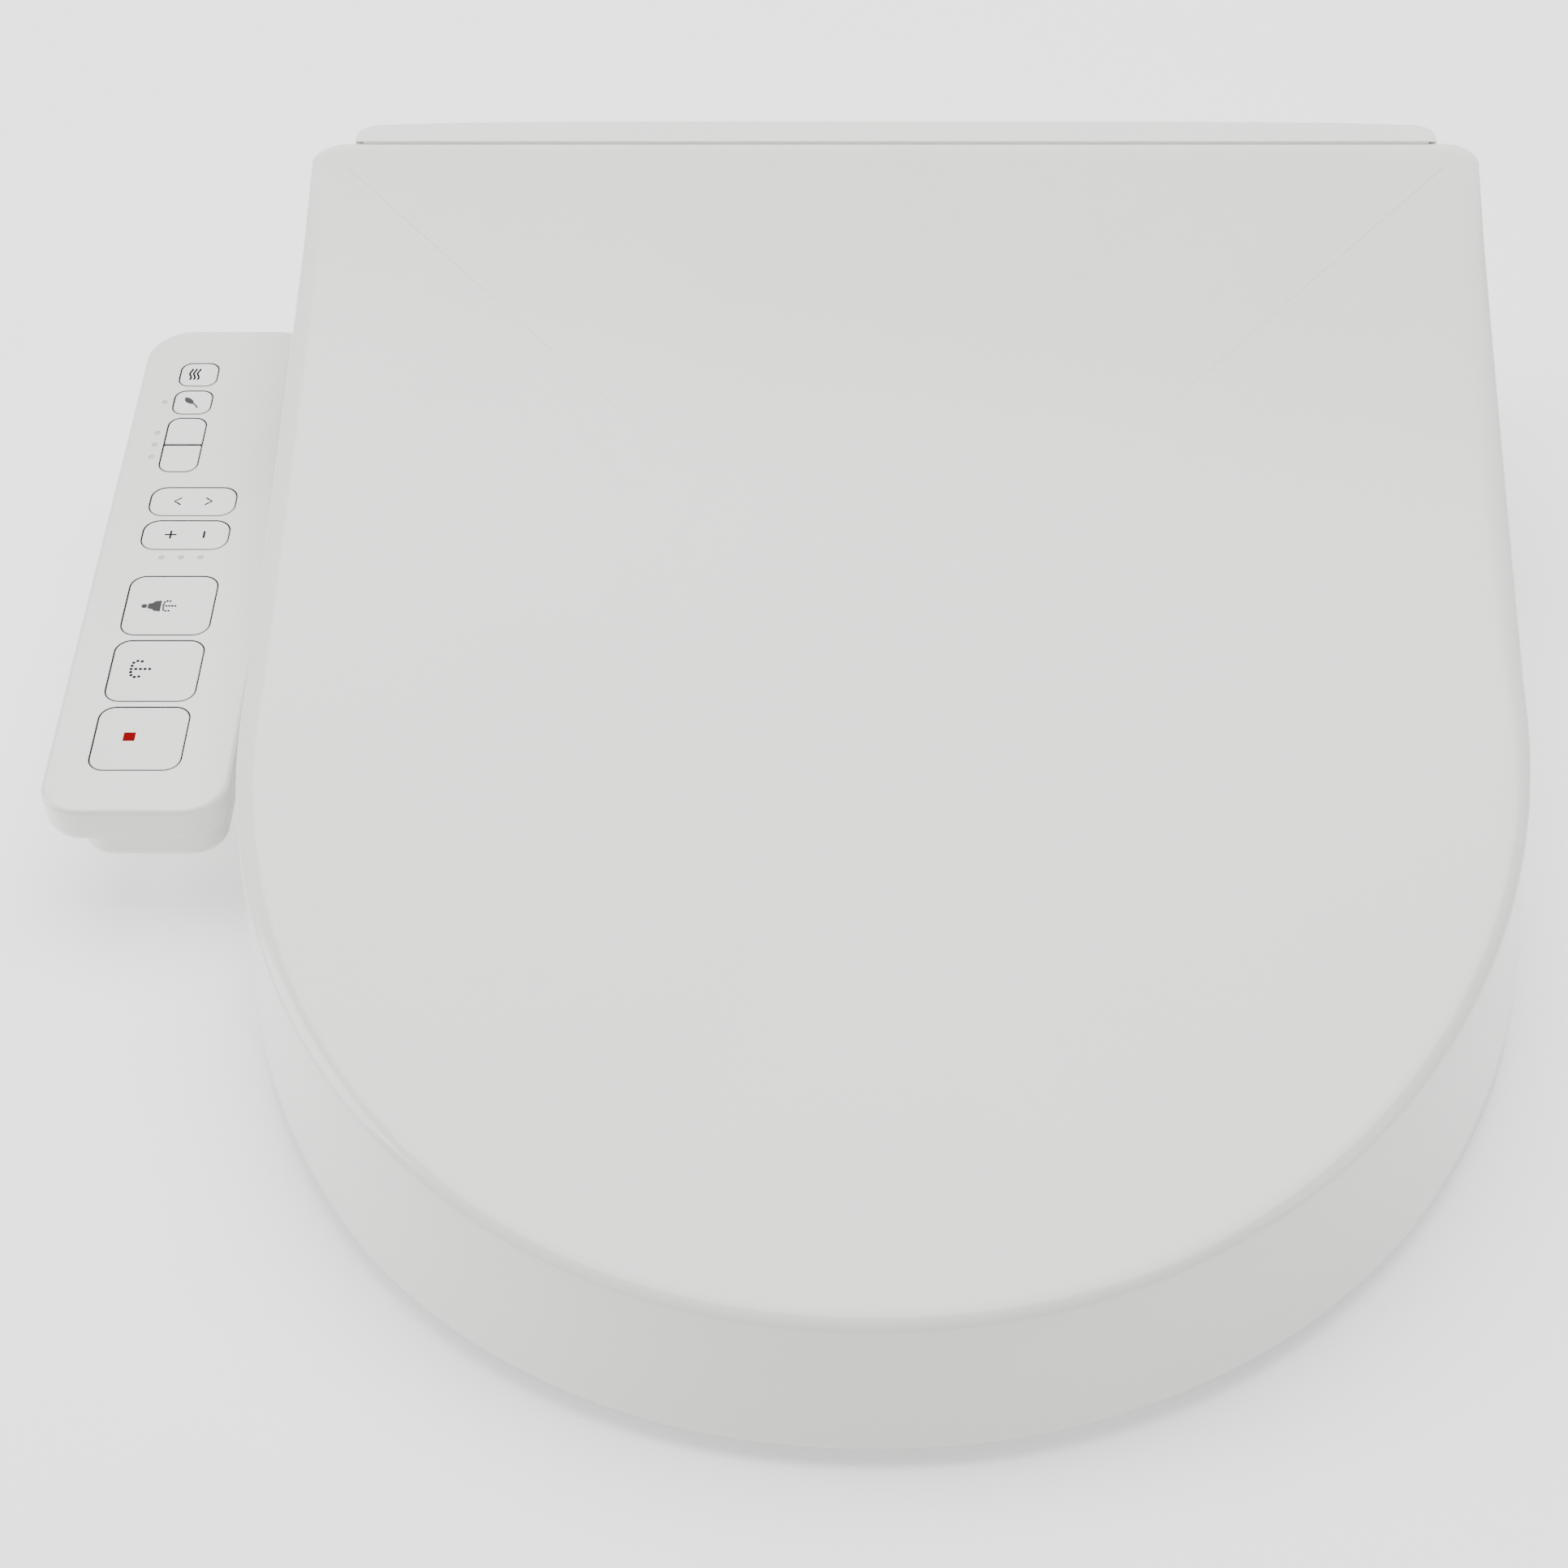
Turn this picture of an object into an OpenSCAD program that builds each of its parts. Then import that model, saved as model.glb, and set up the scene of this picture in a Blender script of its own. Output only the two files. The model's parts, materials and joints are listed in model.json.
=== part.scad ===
// Electric bidet seat: lid, heated seat ring, rear housing and side control panel.
// Millimetres. +Z is up, the rounded front points along -Y, the control panel is on -X.
// The origin is midway between the two bowl bolts, on the plane of the bowl's rim.

/* [Lid] */
// Front of the lid's skirt, in front of the bowl bolts
lid_front = 468; // [462:1:472]
// Half width of the lid beside the seat
lid_half = 200; // [198:1:201]
// Half width of the lid at its rear corners
lid_half_rear = 208; // [206:1:210]
// Height of the lid's top at its front edge
lid_front_z = 49; // [48:1:51]
// Rise of the lid's top towards the rear, in degrees
lid_slope = 8; // [7.5:0.1:8.5]
// Thickness of the lid's plastic
lid_wall = 3; // [2.5:0.1:3.5]
// How far the front wall leans out between the top edge and the skirt
lid_lean = 7; // [5:0.5:8]

/* [Seat] */
// Half width of the seat ring
seat_half = 186; // [183:1:188]
// Front of the seat ring
seat_front = 455; // [453:1:457]
// Height of the seat's top at its front edge
seat_front_z = 36; // [34:0.5:37]
// Half width of the opening
opening_half = 105; // [98:1:108]
// Front of the opening
opening_front = 398; // [390:1:400]
// Rear of the opening
opening_rear = 130; // [129:1:135]
// Height of the rubber bumpers, from the rim to the seat's underside
bumper_h = 8; // [8:0.5:8]

/* [Housing] */
// Half width of the housing
case_half = 193; // [191:1:194]
// Rear face of the housing, behind the bowl bolts
case_rear = 51; // [50:0.5:52]
// Front face of the housing, in front of the bowl bolts
case_front = 56; // [55.5:0.1:56]
// Height of the joint between the base plate and the upper case
case_split = 36; // [35:0.5:37]
// Wall thickness of the case
wall = 2.5; // [2.2:0.1:2.8]

/* [Mounting] */
// Distance between the bowl bolts
bolt_spacing = 140; // [140:1:150]
// Width of the bolt slots
slot_w = 9; // [8.5:0.5:10]
// Length of the bolt slots, end to end
slot_len = 27; // [24:1:30]
// Outer radius of the water inlet's G 1/2 thread
inlet_r = 10.3; // [10.3:0.1:10.5]
// Radius of the hole that the mains cord passes through
cord_r = 3.6; // [3:0.1:4]

/* [Hinges] */
// Radius of the seat's hinge pins
seat_pin_r = 5; // [4.5:0.5:5]
// Radius of the lid's hinge pins
lid_pin_r = 6; // [5.5:0.1:6]
// Radial clearance of every pin in its bore
fit_gap = 0.05; // [0.03:0.01:0.08]

/* [Nozzles] */
// Downward tilt of the nozzles, in degrees
nozzle_tilt = 30; // [28:1:32]
// Distance of each nozzle from the middle
nozzle_x = 14; // [13.5:0.5:14]
// Radius of a nozzle tube
nozzle_r = 5.5; // [5:0.5:5.5]
// Travel of a nozzle
nozzle_travel = 80; // [70:1:80]

/* [Panel] */
// Outer edge of the panel, left of the middle
panel_out = 265; // [264:0.5:266]
// Inner edge of the panel, left of the middle
panel_in = 206; // [206:0.5:207]
// Front of the panel
panel_front = 248; // [247:0.5:249]
// Length of the panel along its slope
panel_len = 239.5; // [239:0.5:240]
// Height of the panel's top at its front edge
panel_z = 46; // [45:0.5:47]
// Rise of the panel towards the rear, in degrees
panel_slope = 5.3; // [5:0.1:5.5]
// Height of the panel's upper tier
panel_tier = 11; // [10.5:0.5:11]
// Side of a large square key
key_side = 28; // [27:0.5:28]
// Gap round a key
key_gap = 0.4; // [0.3:0.05:0.5]
// Travel of a key
key_travel = 0.6; // [0.4:0.1:0.8]

/* [Hidden] */
$fn = 48;

white = "#e9e9e5";
grey = "#b9bab8";
dark = "#3b3d40";
steel = "#b4b7bb";
rubber = "#55585b";
eps = 0.01;
big = 600;

skirt_z = 7;                        // lowest edge of the lid
rise = tan(lid_slope);
lid_widest = 228;                   // where the lid's rounded front begins
lid_rear = 39.2;                    // rearmost point of the lid's roll
lid_corner = 14;
lid_step = 95;                      // behind this, the lid's sides stop higher
lid_step_z = 75;
lid_axis = [18, 104];               // y and z of the lid's hinge
lid_roll = 21;                      // radius of the lid's rolled rear edge
nose_r = 9.3;                       // radius of the housing's hinge nose and the lid's knuckles
lid_pin_x = [104, 190];             // where the lid's pins begin and end
damper_end = 82;                    // inner end of the lid's dampers
knuckle_x = 151;
knuckle_w = 20;

seat_axis = [-75, 40];              // y and z of the seat's hinge
barrel_r = 18;                      // radius of the seat's rolled rear edge
seat_widest = 228;
seat_rise = (58 - seat_front_z) / (seat_front - 76);
seat_split = 14;                    // joint between the seat's two shells
seat_wall = 2.5;
bridge_half = 62;                   // the seat is cut away this far either side of the nozzles:
bridge_front = 140;                 // below from here to the rear,
bridge_end = 86;                    // and all the way up from here
seat_pin_end = 156;                 // outer end of the seat's pins
ear_x = 135;
ear_w = 14;
ear_r = 9;

function lid_top(y) = lid_front_z + rise * (y + lid_front);
function seat_top_z(y) = seat_front_z + seat_rise * (y + seat_front);
case_drop = 6.5;                    // the case's top lies this far below the lid's

// Front half of a rounded oval, from +X to -X by way of -Y
function oval_front(a, b, y0, n, k = 40) = [
    for (i = [0 : k])
        let (t = 180 * i / k, c = cos(t), s = sin(t))
        [a * sign(c) * pow(abs(c), 2 / n), y0 - b * pow(abs(s), 2 / n)]
];

function arc(cx, cy, r, a0, a1, k = 8) = [
    for (i = [0 : k]) let (t = a0 + (a1 - a0) * i / k) [cx + r * cos(t), cy + r * sin(t)]
];

// The lid seen from above: wide at the rear, rounded at the front
function lid_plan(half, front, half_rear, rear, r = lid_corner) = concat(
    oval_front(half, front - lid_widest, -lid_widest, 2.1),
    arc(-half_rear + r, rear - r, r, 180, 90, 4),
    arc(half_rear - r, rear - r, r, 90, 0, 4)
);

module lid_block(inset) {
    // The walls lean in by the same angle all the way up to a level above the lid
    top_z = 125;
    lean = lid_lean * (top_z - skirt_z) / (lid_front_z - skirt_z);
    hull() {
        translate([0, 0, skirt_z - (inset > 0 ? 1 : 0)]) linear_extrude(eps)
            polygon(lid_plan(lid_half - inset, lid_front - inset, lid_half_rear - inset, lid_rear - inset));
        translate([0, 0, top_z]) linear_extrude(eps)
            polygon(lid_plan(lid_half - inset - 4, lid_front - lean - inset, lid_half_rear - inset - 1,
                lid_rear - inset));
    }
}

module under_slope(drop) {
    translate([-big / 2, -lid_front, lid_front_z - drop]) rotate([lid_slope, 0, 0])
        translate([0, -big / 4, -big / 2]) cube([big, 1.5 * big, big / 2]);
}

// A roller along X, centred on a hinge axis
module roller(axis, r, x0, x1) {
    translate([x0, axis.x, axis.y]) rotate([0, 90, 0]) cylinder(h = x1 - x0, r = r, $fn = 96);
}

module both() {
    children();
    mirror([1, 0, 0]) children();
}

module rounded(size, r) {
    // A flat rectangle with round corners, from its lowest corner
    translate([r, 0]) square([size.x - 2 * r, size.y]);
    translate([0, r]) square([size.x, size.y - 2 * r]);
    for (x = [r, size.x - r], y = [r, size.y - r]) translate([x, y]) circle(r);
}

// ---------------------------------------------------------------- lid

module lid_space(r, inset, drop) {
    // What the lid fills: forward of its hinge freely, behind it within the roll
    intersection() {
        lid_block(inset);
        under_slope(drop);
        union() {
            translate([-big / 2, -big, 0]) cube([big, big + lid_axis.x, big / 2]);
            roller(lid_axis, r, -big / 2, big / 2);
        }
    }
}

module lid_knuckle() {
    roller(lid_axis, nose_r, knuckle_x, knuckle_x + knuckle_w);
    translate([knuckle_x, lid_axis.x - 8, lid_axis.y]) cube([knuckle_w, 13, 10.6]);
}

module lid_shell() {
    color(white) difference() {
        union() {
            difference() {
                lid_space(lid_roll, 0, 0);
                lid_space(lid_roll - lid_wall, lid_wall, lid_wall / cos(lid_slope));
            }
            both() lid_knuckle();
            // bosses that carry the rubber bumpers
            for (p = bumper_places_lid()) translate([p.x, p.y, lid_top(p.y) - lid_wall - 5.4])
                cylinder(h = 6, r = 7);
        }
        both() roller(lid_axis, lid_pin_r + fit_gap, knuckle_x - 1, knuckle_x + knuckle_w + 1);
        // the sides stop higher beside the housing
        translate([-big / 2, -lid_step, -1]) cube([big, big, lid_step_z + 1]);
        // below its axis the roll is open
        translate([-big / 2, lid_axis.x - 3, lid_step_z - 1]) cube([big, 60, lid_axis.y - lid_step_z - 3]);
    }
}

function bumper_places_lid() = [for (x = [-1, 1], p = [[70, -428], [143, -300]]) [x * p.x, p.y]];

module lid_bumpers() {
    color(rubber) for (p = bumper_places_lid()) {
        top = lid_top(p.y) - lid_wall - 5.4;
        low = seat_top_z(p.y) + 0.9;
        translate([p.x, p.y, low]) cylinder(h = top - low, r = 5.5);
    }
}

module lid_hinge_pins() {
    color(steel) both() roller(lid_axis, lid_pin_r, lid_pin_x[0], lid_pin_x[1]);
}

// --------------------------------------------------------------- seat

module seat_plan(inset) {
    polygon(concat(
        oval_front(seat_half - inset, seat_front - seat_widest - inset, -seat_widest, 2.15),
        [[-seat_half + inset, -50], [seat_half - inset, -50]]
    ));
}

module opening_plan(grow) {
    b = (opening_front - opening_rear) / 2 + grow;
    y0 = -(opening_front + opening_rear) / 2;
    polygon(concat(
        oval_front(opening_half + grow, b, y0, 2, 24),
        [for (p = oval_front(opening_half + grow, b, 0, 2, 24)) [-p.x, y0 - p.y]]
    ));
}

module seat_profile(inset, low) {
    // Side view of the seat: y to the right, z up
    ax = seat_axis.x;
    polygon([
        [-seat_front - 5, low], [-seat_front - 5, seat_top_z(-seat_front - 5) - inset],
        [ax - 1, seat_top_z(ax - 1) - inset], [ax, seat_axis.y - barrel_r + inset],
        [ax - 25, low]
    ]);
    translate(seat_axis) circle(barrel_r - inset, $fn = 96);
}

module along_x(x0, x1) {
    // Turns a side view into a bar from x0 to x1
    translate([x0, 0, 0]) rotate([90, 0, 90]) linear_extrude(x1 - x0) children();
}

module seat_body(inset, low) {
    intersection() {
        along_x(-big / 2, big / 2) seat_profile(inset, low);
        linear_extrude(120) difference() {
            seat_plan(inset);
            opening_plan(inset);
        }
    }
}

module seat_top() {
    slot_x = ear_x - ear_w / 2 - 1;
    slot_len_x = ear_w + 2;
    color(white) difference() {
        union() {
            difference() {
                seat_body(0, seat_split);
                seat_body(seat_wall, seat_split - 1);
            }
            for (p = seat_screw_places()) translate([p.x, p.y, seat_split]) cylinder(h = 14, r = 4.2);
            // closed pockets round the hinge ears, and bushes for the pins
            both() intersection() {
                seat_body(0, seat_split);
                translate([slot_x - 6, -98, 0]) cube([slot_len_x + 12, 60, 100]);
            }
            // floor of the bridge over the nozzles
            intersection() {
                seat_body(0, seat_split);
                translate([-bridge_half - wall, 1 - bridge_front, seat_axis.y])
                    cube([2 * (bridge_half + wall), 100, 2 * wall]);
            }
            for (x = [-bridge_half - wall, bridge_half]) intersection() {
                seat_body(0, seat_split);
                translate([x, -bridge_front, seat_split]) cube([wall, 100, seat_axis.y + wall - seat_split]);
            }
        }
        both() translate([slot_x, seat_axis.x - ear_r - 1.5, 0]) cube([slot_len_x, 60, 100]);
        both() roller(seat_axis, seat_pin_r, 116, seat_pin_end);
        // room for the nozzles' hood and its rolled top
        translate([-bridge_half, -bridge_front, 0]) cube([2 * bridge_half, 100, seat_axis.y]);
        translate([-bridge_half, -bridge_end, 0]) cube([2 * bridge_half, 100, 100]);
        roller(seat_axis, hood_r + 0.8, -bridge_half, bridge_half);
        for (p = seat_screw_places()) translate([p.x, p.y, 0]) cylinder(h = seat_split + 10, r = 1.6);
    }
}

module seat_bottom() {
    edge = 0.4;
    color(white) difference() {
        linear_extrude(seat_split - eps) difference() {
            seat_plan(edge);
            opening_plan(edge);
        }
        translate([0, 0, -1]) linear_extrude(bumper_h + 1) square(1200, center = true);
        translate([0, 0, bumper_h + 2]) linear_extrude(20) difference() {
            seat_plan(seat_wall + edge);
            opening_plan(seat_wall + edge);
        }
        translate([-big / 2, seat_axis.x - 25, 0]) cube([big, 100, 20]);
        translate([-bridge_half - wall, -bridge_front - 2, 0]) cube([2 * (bridge_half + wall), 100, 20]);
        for (p = seat_screw_places()) translate([p.x, p.y, 0]) cylinder(h = 20, r = 2.2);
    }
}

module seat_heater() {
    foil = 0.8;
    depth = 3.2;
    color("#c08a3e") intersection() {
        along_x(-big / 2, big / 2) polygon([
            for (e = [[-1, 0], [1, 0], [1, -foil], [-1, -foil]])
                let (y = e.x < 0 ? -seat_front + 14 : -108) [y, seat_top_z(y) - depth + e.y]
        ]);
        linear_extrude(120) difference() {
            seat_plan(14);
            opening_plan(11);
        }
    }
}

module seat_bumpers() {
    color(rubber) for (x = [-1, 1], p = [[92, -412, 28], [148, -190, 52]])
        translate([x * p.x, p.y, 0]) rotate([0, 0, x * p.z])
            translate([-17, -7, 0]) linear_extrude(bumper_h) rounded([34, 14], 6);
}

module seat_hinge_pins() {
    color(steel) both() roller(seat_axis, seat_pin_r, 118, seat_pin_end);
}

module seat_damper() {
    color(dark) both() difference() {
        roller(seat_axis, 11, seat_pin_end - 6 + eps, 179);
        roller(seat_axis, seat_pin_r, 140, seat_pin_end);
    }
}

module seat_sensor() {
    color("#3f7f4f") translate([-24, -418, seat_top_z(-418) - 9]) cube([48, 12, 4]);
    color("#3f7f4f") translate([-20, -417, seat_top_z(-417) - 9 - eps]) cube([8, 9, 3]);
}

function seat_screw_places() = // just inside the seat's outer wall
    let (in = 6.2, p = oval_front(seat_half - in, seat_front - seat_widest - in, -seat_widest, 2.15))
    concat([for (i = [2, 8, 14, 18, 22, 26, 32, 38]) p[i]], [for (x = [-1, 1]) [x * (seat_half - in), -120]]);

module seat_screws() {
    color(steel) for (p = seat_screw_places()) translate([p.x, p.y, bumper_h]) {
        cylinder(h = 14, r = 1.6);
        translate([0, 0, -0.6]) cylinder(h = 1.2, r = 2);
    }
}

// ------------------------------------------------------------ housing

function case_edge(inset) = [
    // rear edge, bowed out in the middle, from right to left
    for (i = [0 : 16])
        let (x = (case_half - case_corner) * (1 - i / 8))
        [x, case_edge_y(x) - inset]
];

function case_edge_y(x) = case_rear - 6 * pow(x / case_half, 2);

function case_round(side, inset) = // rear corner, from the side wall to the rear edge
    let (x = case_half - case_corner, r = case_corner - inset)
    [for (a = [0 : 15 : 75]) [side * (x + r * cos(a)), case_edge_y(x) - case_corner + r * sin(a)]];

function reversed(list) = [for (i = [len(list) - 1 : -1 : 0]) list[i]];

case_corner = 8;                    // radius of the case's rear corners

module case_plan(inset) {
    h = case_half - inset;
    polygon(concat(
        [[h, -case_front + inset]],
        case_round(1, inset),
        case_edge(inset),
        reversed(case_round(-1, inset)),
        [[-h, -case_front + inset]]
    ));
}

hood_half = 60.5;                   // half width of the nozzle hood
hood_r = 17.5;                      // its top rolls over about the seat's axis
hood_front = hood_r - seat_axis.x;
recess_half = 104;                  // the base plate's recess over the mounting bracket
recess_front = 40;
recess_z = 13;
floor_z = recess_z + 2.5;           // floor over the recess, which the inner parts stand on
bolt_x = bolt_spacing / 2;

module base_outline(inset) {
    case_plan(inset);
    translate([-hood_half + inset, -hood_front + inset])
        square([2 * (hood_half - inset), hood_front - case_front + 2 * wall]);
}

module ear() {
    // Hinge ear that reaches forward and up to the seat's pin
    along_x(ear_x - ear_w / 2, ear_x + ear_w / 2) {
        translate(seat_axis) circle(ear_r, $fn = 96);
        translate(seat_axis) polygon([
            [8.8, -1.8], [20, -4], [20, -37], [9, -37], [-2, -8.7]
        ]);
    }
}

module base_plate() {
    color(grey) difference() {
        union() {
            difference() {
                translate([0, 0, 3]) linear_extrude(case_split - 3) base_outline(0);
                translate([0, 0, 5.5]) linear_extrude(60) base_outline(wall);
            }
            translate([-recess_half - 2.5, -recess_front - 2.5, 3])
                cube([2 * recess_half + 5, case_rear + recess_front - 6, recess_z - 0.5]);
            both() ear();
            // stop behind the release spring, and stand-offs under the main board
            translate([143, 3, 4]) cube([2.5, 10, 20]);
            for (x = [-166, -124], y = [-38, 34]) translate([x, y, 4]) cylinder(h = board_z - 4, r = 3);
            // posts that the case screws bite into
            for (p = case_screw_places()) translate([p.x, p.y, 4]) cylinder(h = case_split - 4, r = 4);
        }
        translate([-recess_half, -recess_front, 0]) cube([2 * recess_half, 200, recess_z]);
        both() roller(seat_axis, seat_pin_r + fit_gap, ear_x - ear_w, ear_x + ear_w);
        for (p = case_screw_places()) translate([p.x, p.y, 0]) cylinder(h = 60, r = 1.8);
        // mouth for the nozzles
        translate([-hood_half + wall, -hood_front - 1, 6]) cube([2 * (hood_half - wall), 2 * wall, 60]);
        translate([-nozzle_x - 9, -hood_front - 1, 0]) cube([2 * nozzle_x + 18, 21, 7]);
        // release button, filter drawer, inlet and cord
        translate([180, -2, 15.5]) cube([40, 20, 10]);
        translate([180, -46, 9]) cube([40, 36, 25]);
        translate([180, inlet_place.y, inlet_place.z]) rotate([0, 90, 0]) cylinder(h = 40, r = 8.2);
        translate([cord_place.x, 30, cord_place.z]) rotate([-90, 0, 0]) cylinder(h = 40, r = 7.2);
    }
}

post_r = 4;
board_z = 20;
inlet_place = [case_half, 30, 22];
cord_place = [150, case_rear - 4.5, 22];

function case_screw_places() = concat(
    [for (x = [-112, 112], y = [-45, 36]) [x, y]],
    [[-180, -45], [-180, 30]]
);

module case_screws() {
    color(steel) for (p = case_screw_places()) translate([p.x, p.y, recess_z + 0.4]) cylinder(h = 20, r = 1.7);
}

function groove_arc(r, a0, a1, k = 14) = arc(lid_axis.x, lid_axis.y, r, a0, a1, k);

module case_profile() {
    // Side view of the upper case, with the groove that the lid's roll turns in
    z_top = lid_top(0) - case_drop;
    polygon(concat(
        [[-case_front, case_split], [-case_front, z_top - rise * case_front]],
        [[lid_axis.x - nose_r * sin(lid_slope), lid_axis.y + nose_r * cos(lid_slope)]],
        [lid_axis],
        groove_arc(lid_roll + 0.8, -118, 46),
        [[case_rear - 4, 119.2], [case_rear - 1, 118], [case_rear + 1, 115], [case_rear + 1, case_split]]
    ));
    translate(lid_axis) circle(nose_r, $fn = 96);
}

module case_hollow() {
    z_top = lid_top(0) - case_drop - wall;
    polygon(concat(
        [[-case_front + wall, case_split - 1], [-case_front + wall, z_top - rise * case_front]],
        [[3, z_top + rise * 3], [3.5, 84]],
        groove_arc(lid_roll + 0.8 + wall, -118, -25),
        [[case_rear + 1, 92], [case_rear + 1, case_split - 1]]
    ));
}

module hood_profile(inset) {
    // Side view of the nozzle hood: upright at the front, rolled over on top
    low = case_split + (inset > 0 ? -1 : eps);
    translate([-hood_front + inset, low]) square([hood_front - case_front + wall, seat_axis.y - low]);
    intersection() {
        translate(seat_axis) circle(hood_r - inset, $fn = 96);
        translate([-100, seat_axis.y - eps]) square([100, 30]);
    }
    translate([seat_axis.x, seat_axis.y - eps]) square([-case_front - seat_axis.x + 1, 7 - inset]);
}

// Screw posts end in the case's top, or in the skin of the groove above them
function post_top(y) = y < 0 ? lid_top(y) - case_drop - 1
    : lid_axis.y - sqrt(pow(lid_roll + 0.8 + wall, 2) - pow(y - post_r - lid_axis.x, 2)) + 1;

module upper_case() {
    color(white) difference() {
        union() {
            difference() {
                union() {
                    intersection() {
                        along_x(-big / 2, big / 2) case_profile();
                        translate([0, 0, case_split + eps]) linear_extrude(100) case_plan(0);
                    }
                    along_x(-hood_half, hood_half) hood_profile(0);
                }
                intersection() {
                    along_x(-big / 2, big / 2) case_hollow();
                    linear_extrude(130) case_plan(wall);
                }
                along_x(wall - hood_half, hood_half - wall) hood_profile(wall);
            }
            for (p = case_screw_places()) translate([p.x, p.y, case_split + eps])
                cylinder(h = post_top(p.y) - case_split, r = post_r);
        }
        // slots for the lid's knuckles, then the pin and damper bores
        both() roller(lid_axis, 14, knuckle_x - 1, knuckle_x + knuckle_w + 1);
        both() roller(lid_axis, lid_pin_r + fit_gap, damper_end - 2, lid_pin_x[1] + 2);
        for (p = case_screw_places()) translate([p.x, p.y, 0]) cylinder(h = 60, r = 1.8);
    }
}

module lid_damper() {
    // In the pin's bore, behind the pin
    color(dark) both() roller(lid_axis, lid_pin_r, damper_end, lid_pin_x[0] - 0.1);
}

module housing_pads() {
    color(rubber) both() {
        translate([130, -52, 0]) linear_extrude(3) rounded([40, 12], 4);
        translate([130, 24, 0]) linear_extrude(3) rounded([40, 12], 4);
    }
}

module slot(w, len, h) {
    translate([-(len - w) / 2, -w / 2, 0]) cube([len - w, w, h]);
    for (x = [-1, 1]) translate([x * (len - w) / 2, 0, 0]) cylinder(h = h, r = w / 2);
}

module mounting_bracket() {
    color(grey) difference() {
        union() {
            translate([-100, -36, 0]) linear_extrude(4) rounded([200, 78], 8);
            // raised rim round the slots and two rails that hold the base plate down
            for (x = [-1, 1]) translate([x * bolt_x, 0, 0]) linear_extrude(6) translate([-24, -12]) rounded([48, 24], 6);
            for (x = [-44, 36]) translate([x, -30, 0]) cube([8, 66, 11]);
        }
        for (x = [-1, 1]) translate([x * bolt_x, 0, -1]) slot(slot_w, slot_len, 20);
    }
}

module release_button() {
    color(white) {
        translate([case_half - 6, -1, 16]) linear_extrude(8.5) rounded([9, 18], 2);
        translate([case_half - 30, 4, 18]) cube([24 + eps, 8, 5]);
    }
}

module release_spring() {
    // A folded leaf spring between the button's stem and a stop on the base plate
    folds = 7;
    pitch = (case_half - 30 - 145.5 - 0.4) / folds;
    blade = 6;
    lean = atan(pitch / blade) + 1.2;
    color(steel) for (i = [0 : folds - 1])
        translate([145.7 + pitch * (i + 0.5), 8, 20.5]) rotate([0, i % 2 ? -lean : lean, 0])
            translate([-0.25, -3, -blade / 2]) cube([0.5, 6, blade]);
}

// -------------------------------------------------------------- water

module water_inlet() {
    color("#d8d8d4") translate(inlet_place) rotate([0, 90, 0]) difference() {
        union() {
            translate([0, 0, 0.01]) cylinder(h = 3, r = 13);
            cylinder(h = 16, r = inlet_r, $fn = 96);
            translate([0, 0, -26]) cylinder(h = 26.1, r = 8);
        }
        translate([0, 0, -30]) cylinder(h = 60, r = 5);
    }
}

valve_x = 137;

module inlet_valve() {
    body = [29.9, 15.8, 20];
    low = [valve_x, inlet_place.y - 9, 12];
    color("#d8d8d4") translate(low) cube(body);
    // solenoid on top
    color("#2f5f9f") translate([valve_x + 13, inlet_place.y, low.z + body.z]) cylinder(h = 22, r = 8);
}

module hose_run(points, r) {
    // A hose with straight runs and ball elbows
    for (i = [0 : len(points) - 2]) {
        a = points[i];
        d = points[i + 1] - a;
        translate(a) rotate([0, acos(d.z / norm(d)), atan2(d.y, d.x)]) cylinder(h = norm(d), r = r, $fn = 24);
        if (i > 0) translate(a) sphere(r, $fn = 24);
    }
}

module inlet_hose() {
    // From the valve up to the tank's top
    bend_x = 124;
    y = 22;
    low = 24;
    high = 64;
    color("#cfd3d6") hose_run([[valve_x, inlet_place.y, low], [bend_x, inlet_place.y, low], [bend_x, y, low],
        [bend_x, y, high], [tank_x1 + 0.1, y, high]], 3);
}

tank_x0 = 54;
tank_x1 = 105;
tank_z = floor_z;

module water_tank() {
    low = [tank_x0, -46, tank_z];
    size = [tank_x1 - tank_x0, 84, 60];
    skin = [wall, wall, wall];
    color("#e4e6e4") difference() {
        translate(low) cube(size);
        translate(low + skin) cube(size - 2 * skin);
    }
}

module tank_heater() {
    color(steel) difference() {
        translate([62, -34, tank_z + wall]) linear_extrude(8) rounded([35, 58], 10);
        translate([69, -27, tank_z]) linear_extrude(14) rounded([21, 44], 5);
    }
}

module flow_selector() {
    side = 16;
    y = 24;
    color("#d8d8d4") {
        translate([-side, y, floor_z]) cube([2 * side, side, side]);
        // stepper motor on its end
        translate([side, y + side / 2, floor_z + side / 2]) rotate([0, 90, 0]) cylinder(h = 16, r = 7);
    }
}

module nozzle_hoses() {
    // From the tank to the selector, and the selector's two outlets
    color("#cfd3d6") {
        hose_run([[tank_x0 - 0.1, 28, 60], [48, 28, 60], [48, 28, 38], [11, 28, 38], [11, 28, 31.6]], 2.4);
        for (x = [-10, 3]) hose_run([[x, 36, 31.6], [x, 36, 42]], 2.4);
    }
}

// ------------------------------------------------------------ nozzles

nozzle_tip = [-79, 9];              // y and z of the nozzles' front ends
gear_m = 1;
gear_teeth = 14;
gear_r = gear_m * gear_teeth / 2;
gear_add = 0.8;
gear_ded = 1.1;
gear_thin = 0.36;                   // total backlash at the pitch line
gear_along = 58;                    // distance of the pinions from the nozzles' front ends
rack_pitch_h = nozzle_r + 2.2;      // height of the rack's pitch line above the nozzle's axis
tooth_pitch = PI * gear_m;
tube_len = gear_along + nozzle_travel + 4;

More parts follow.
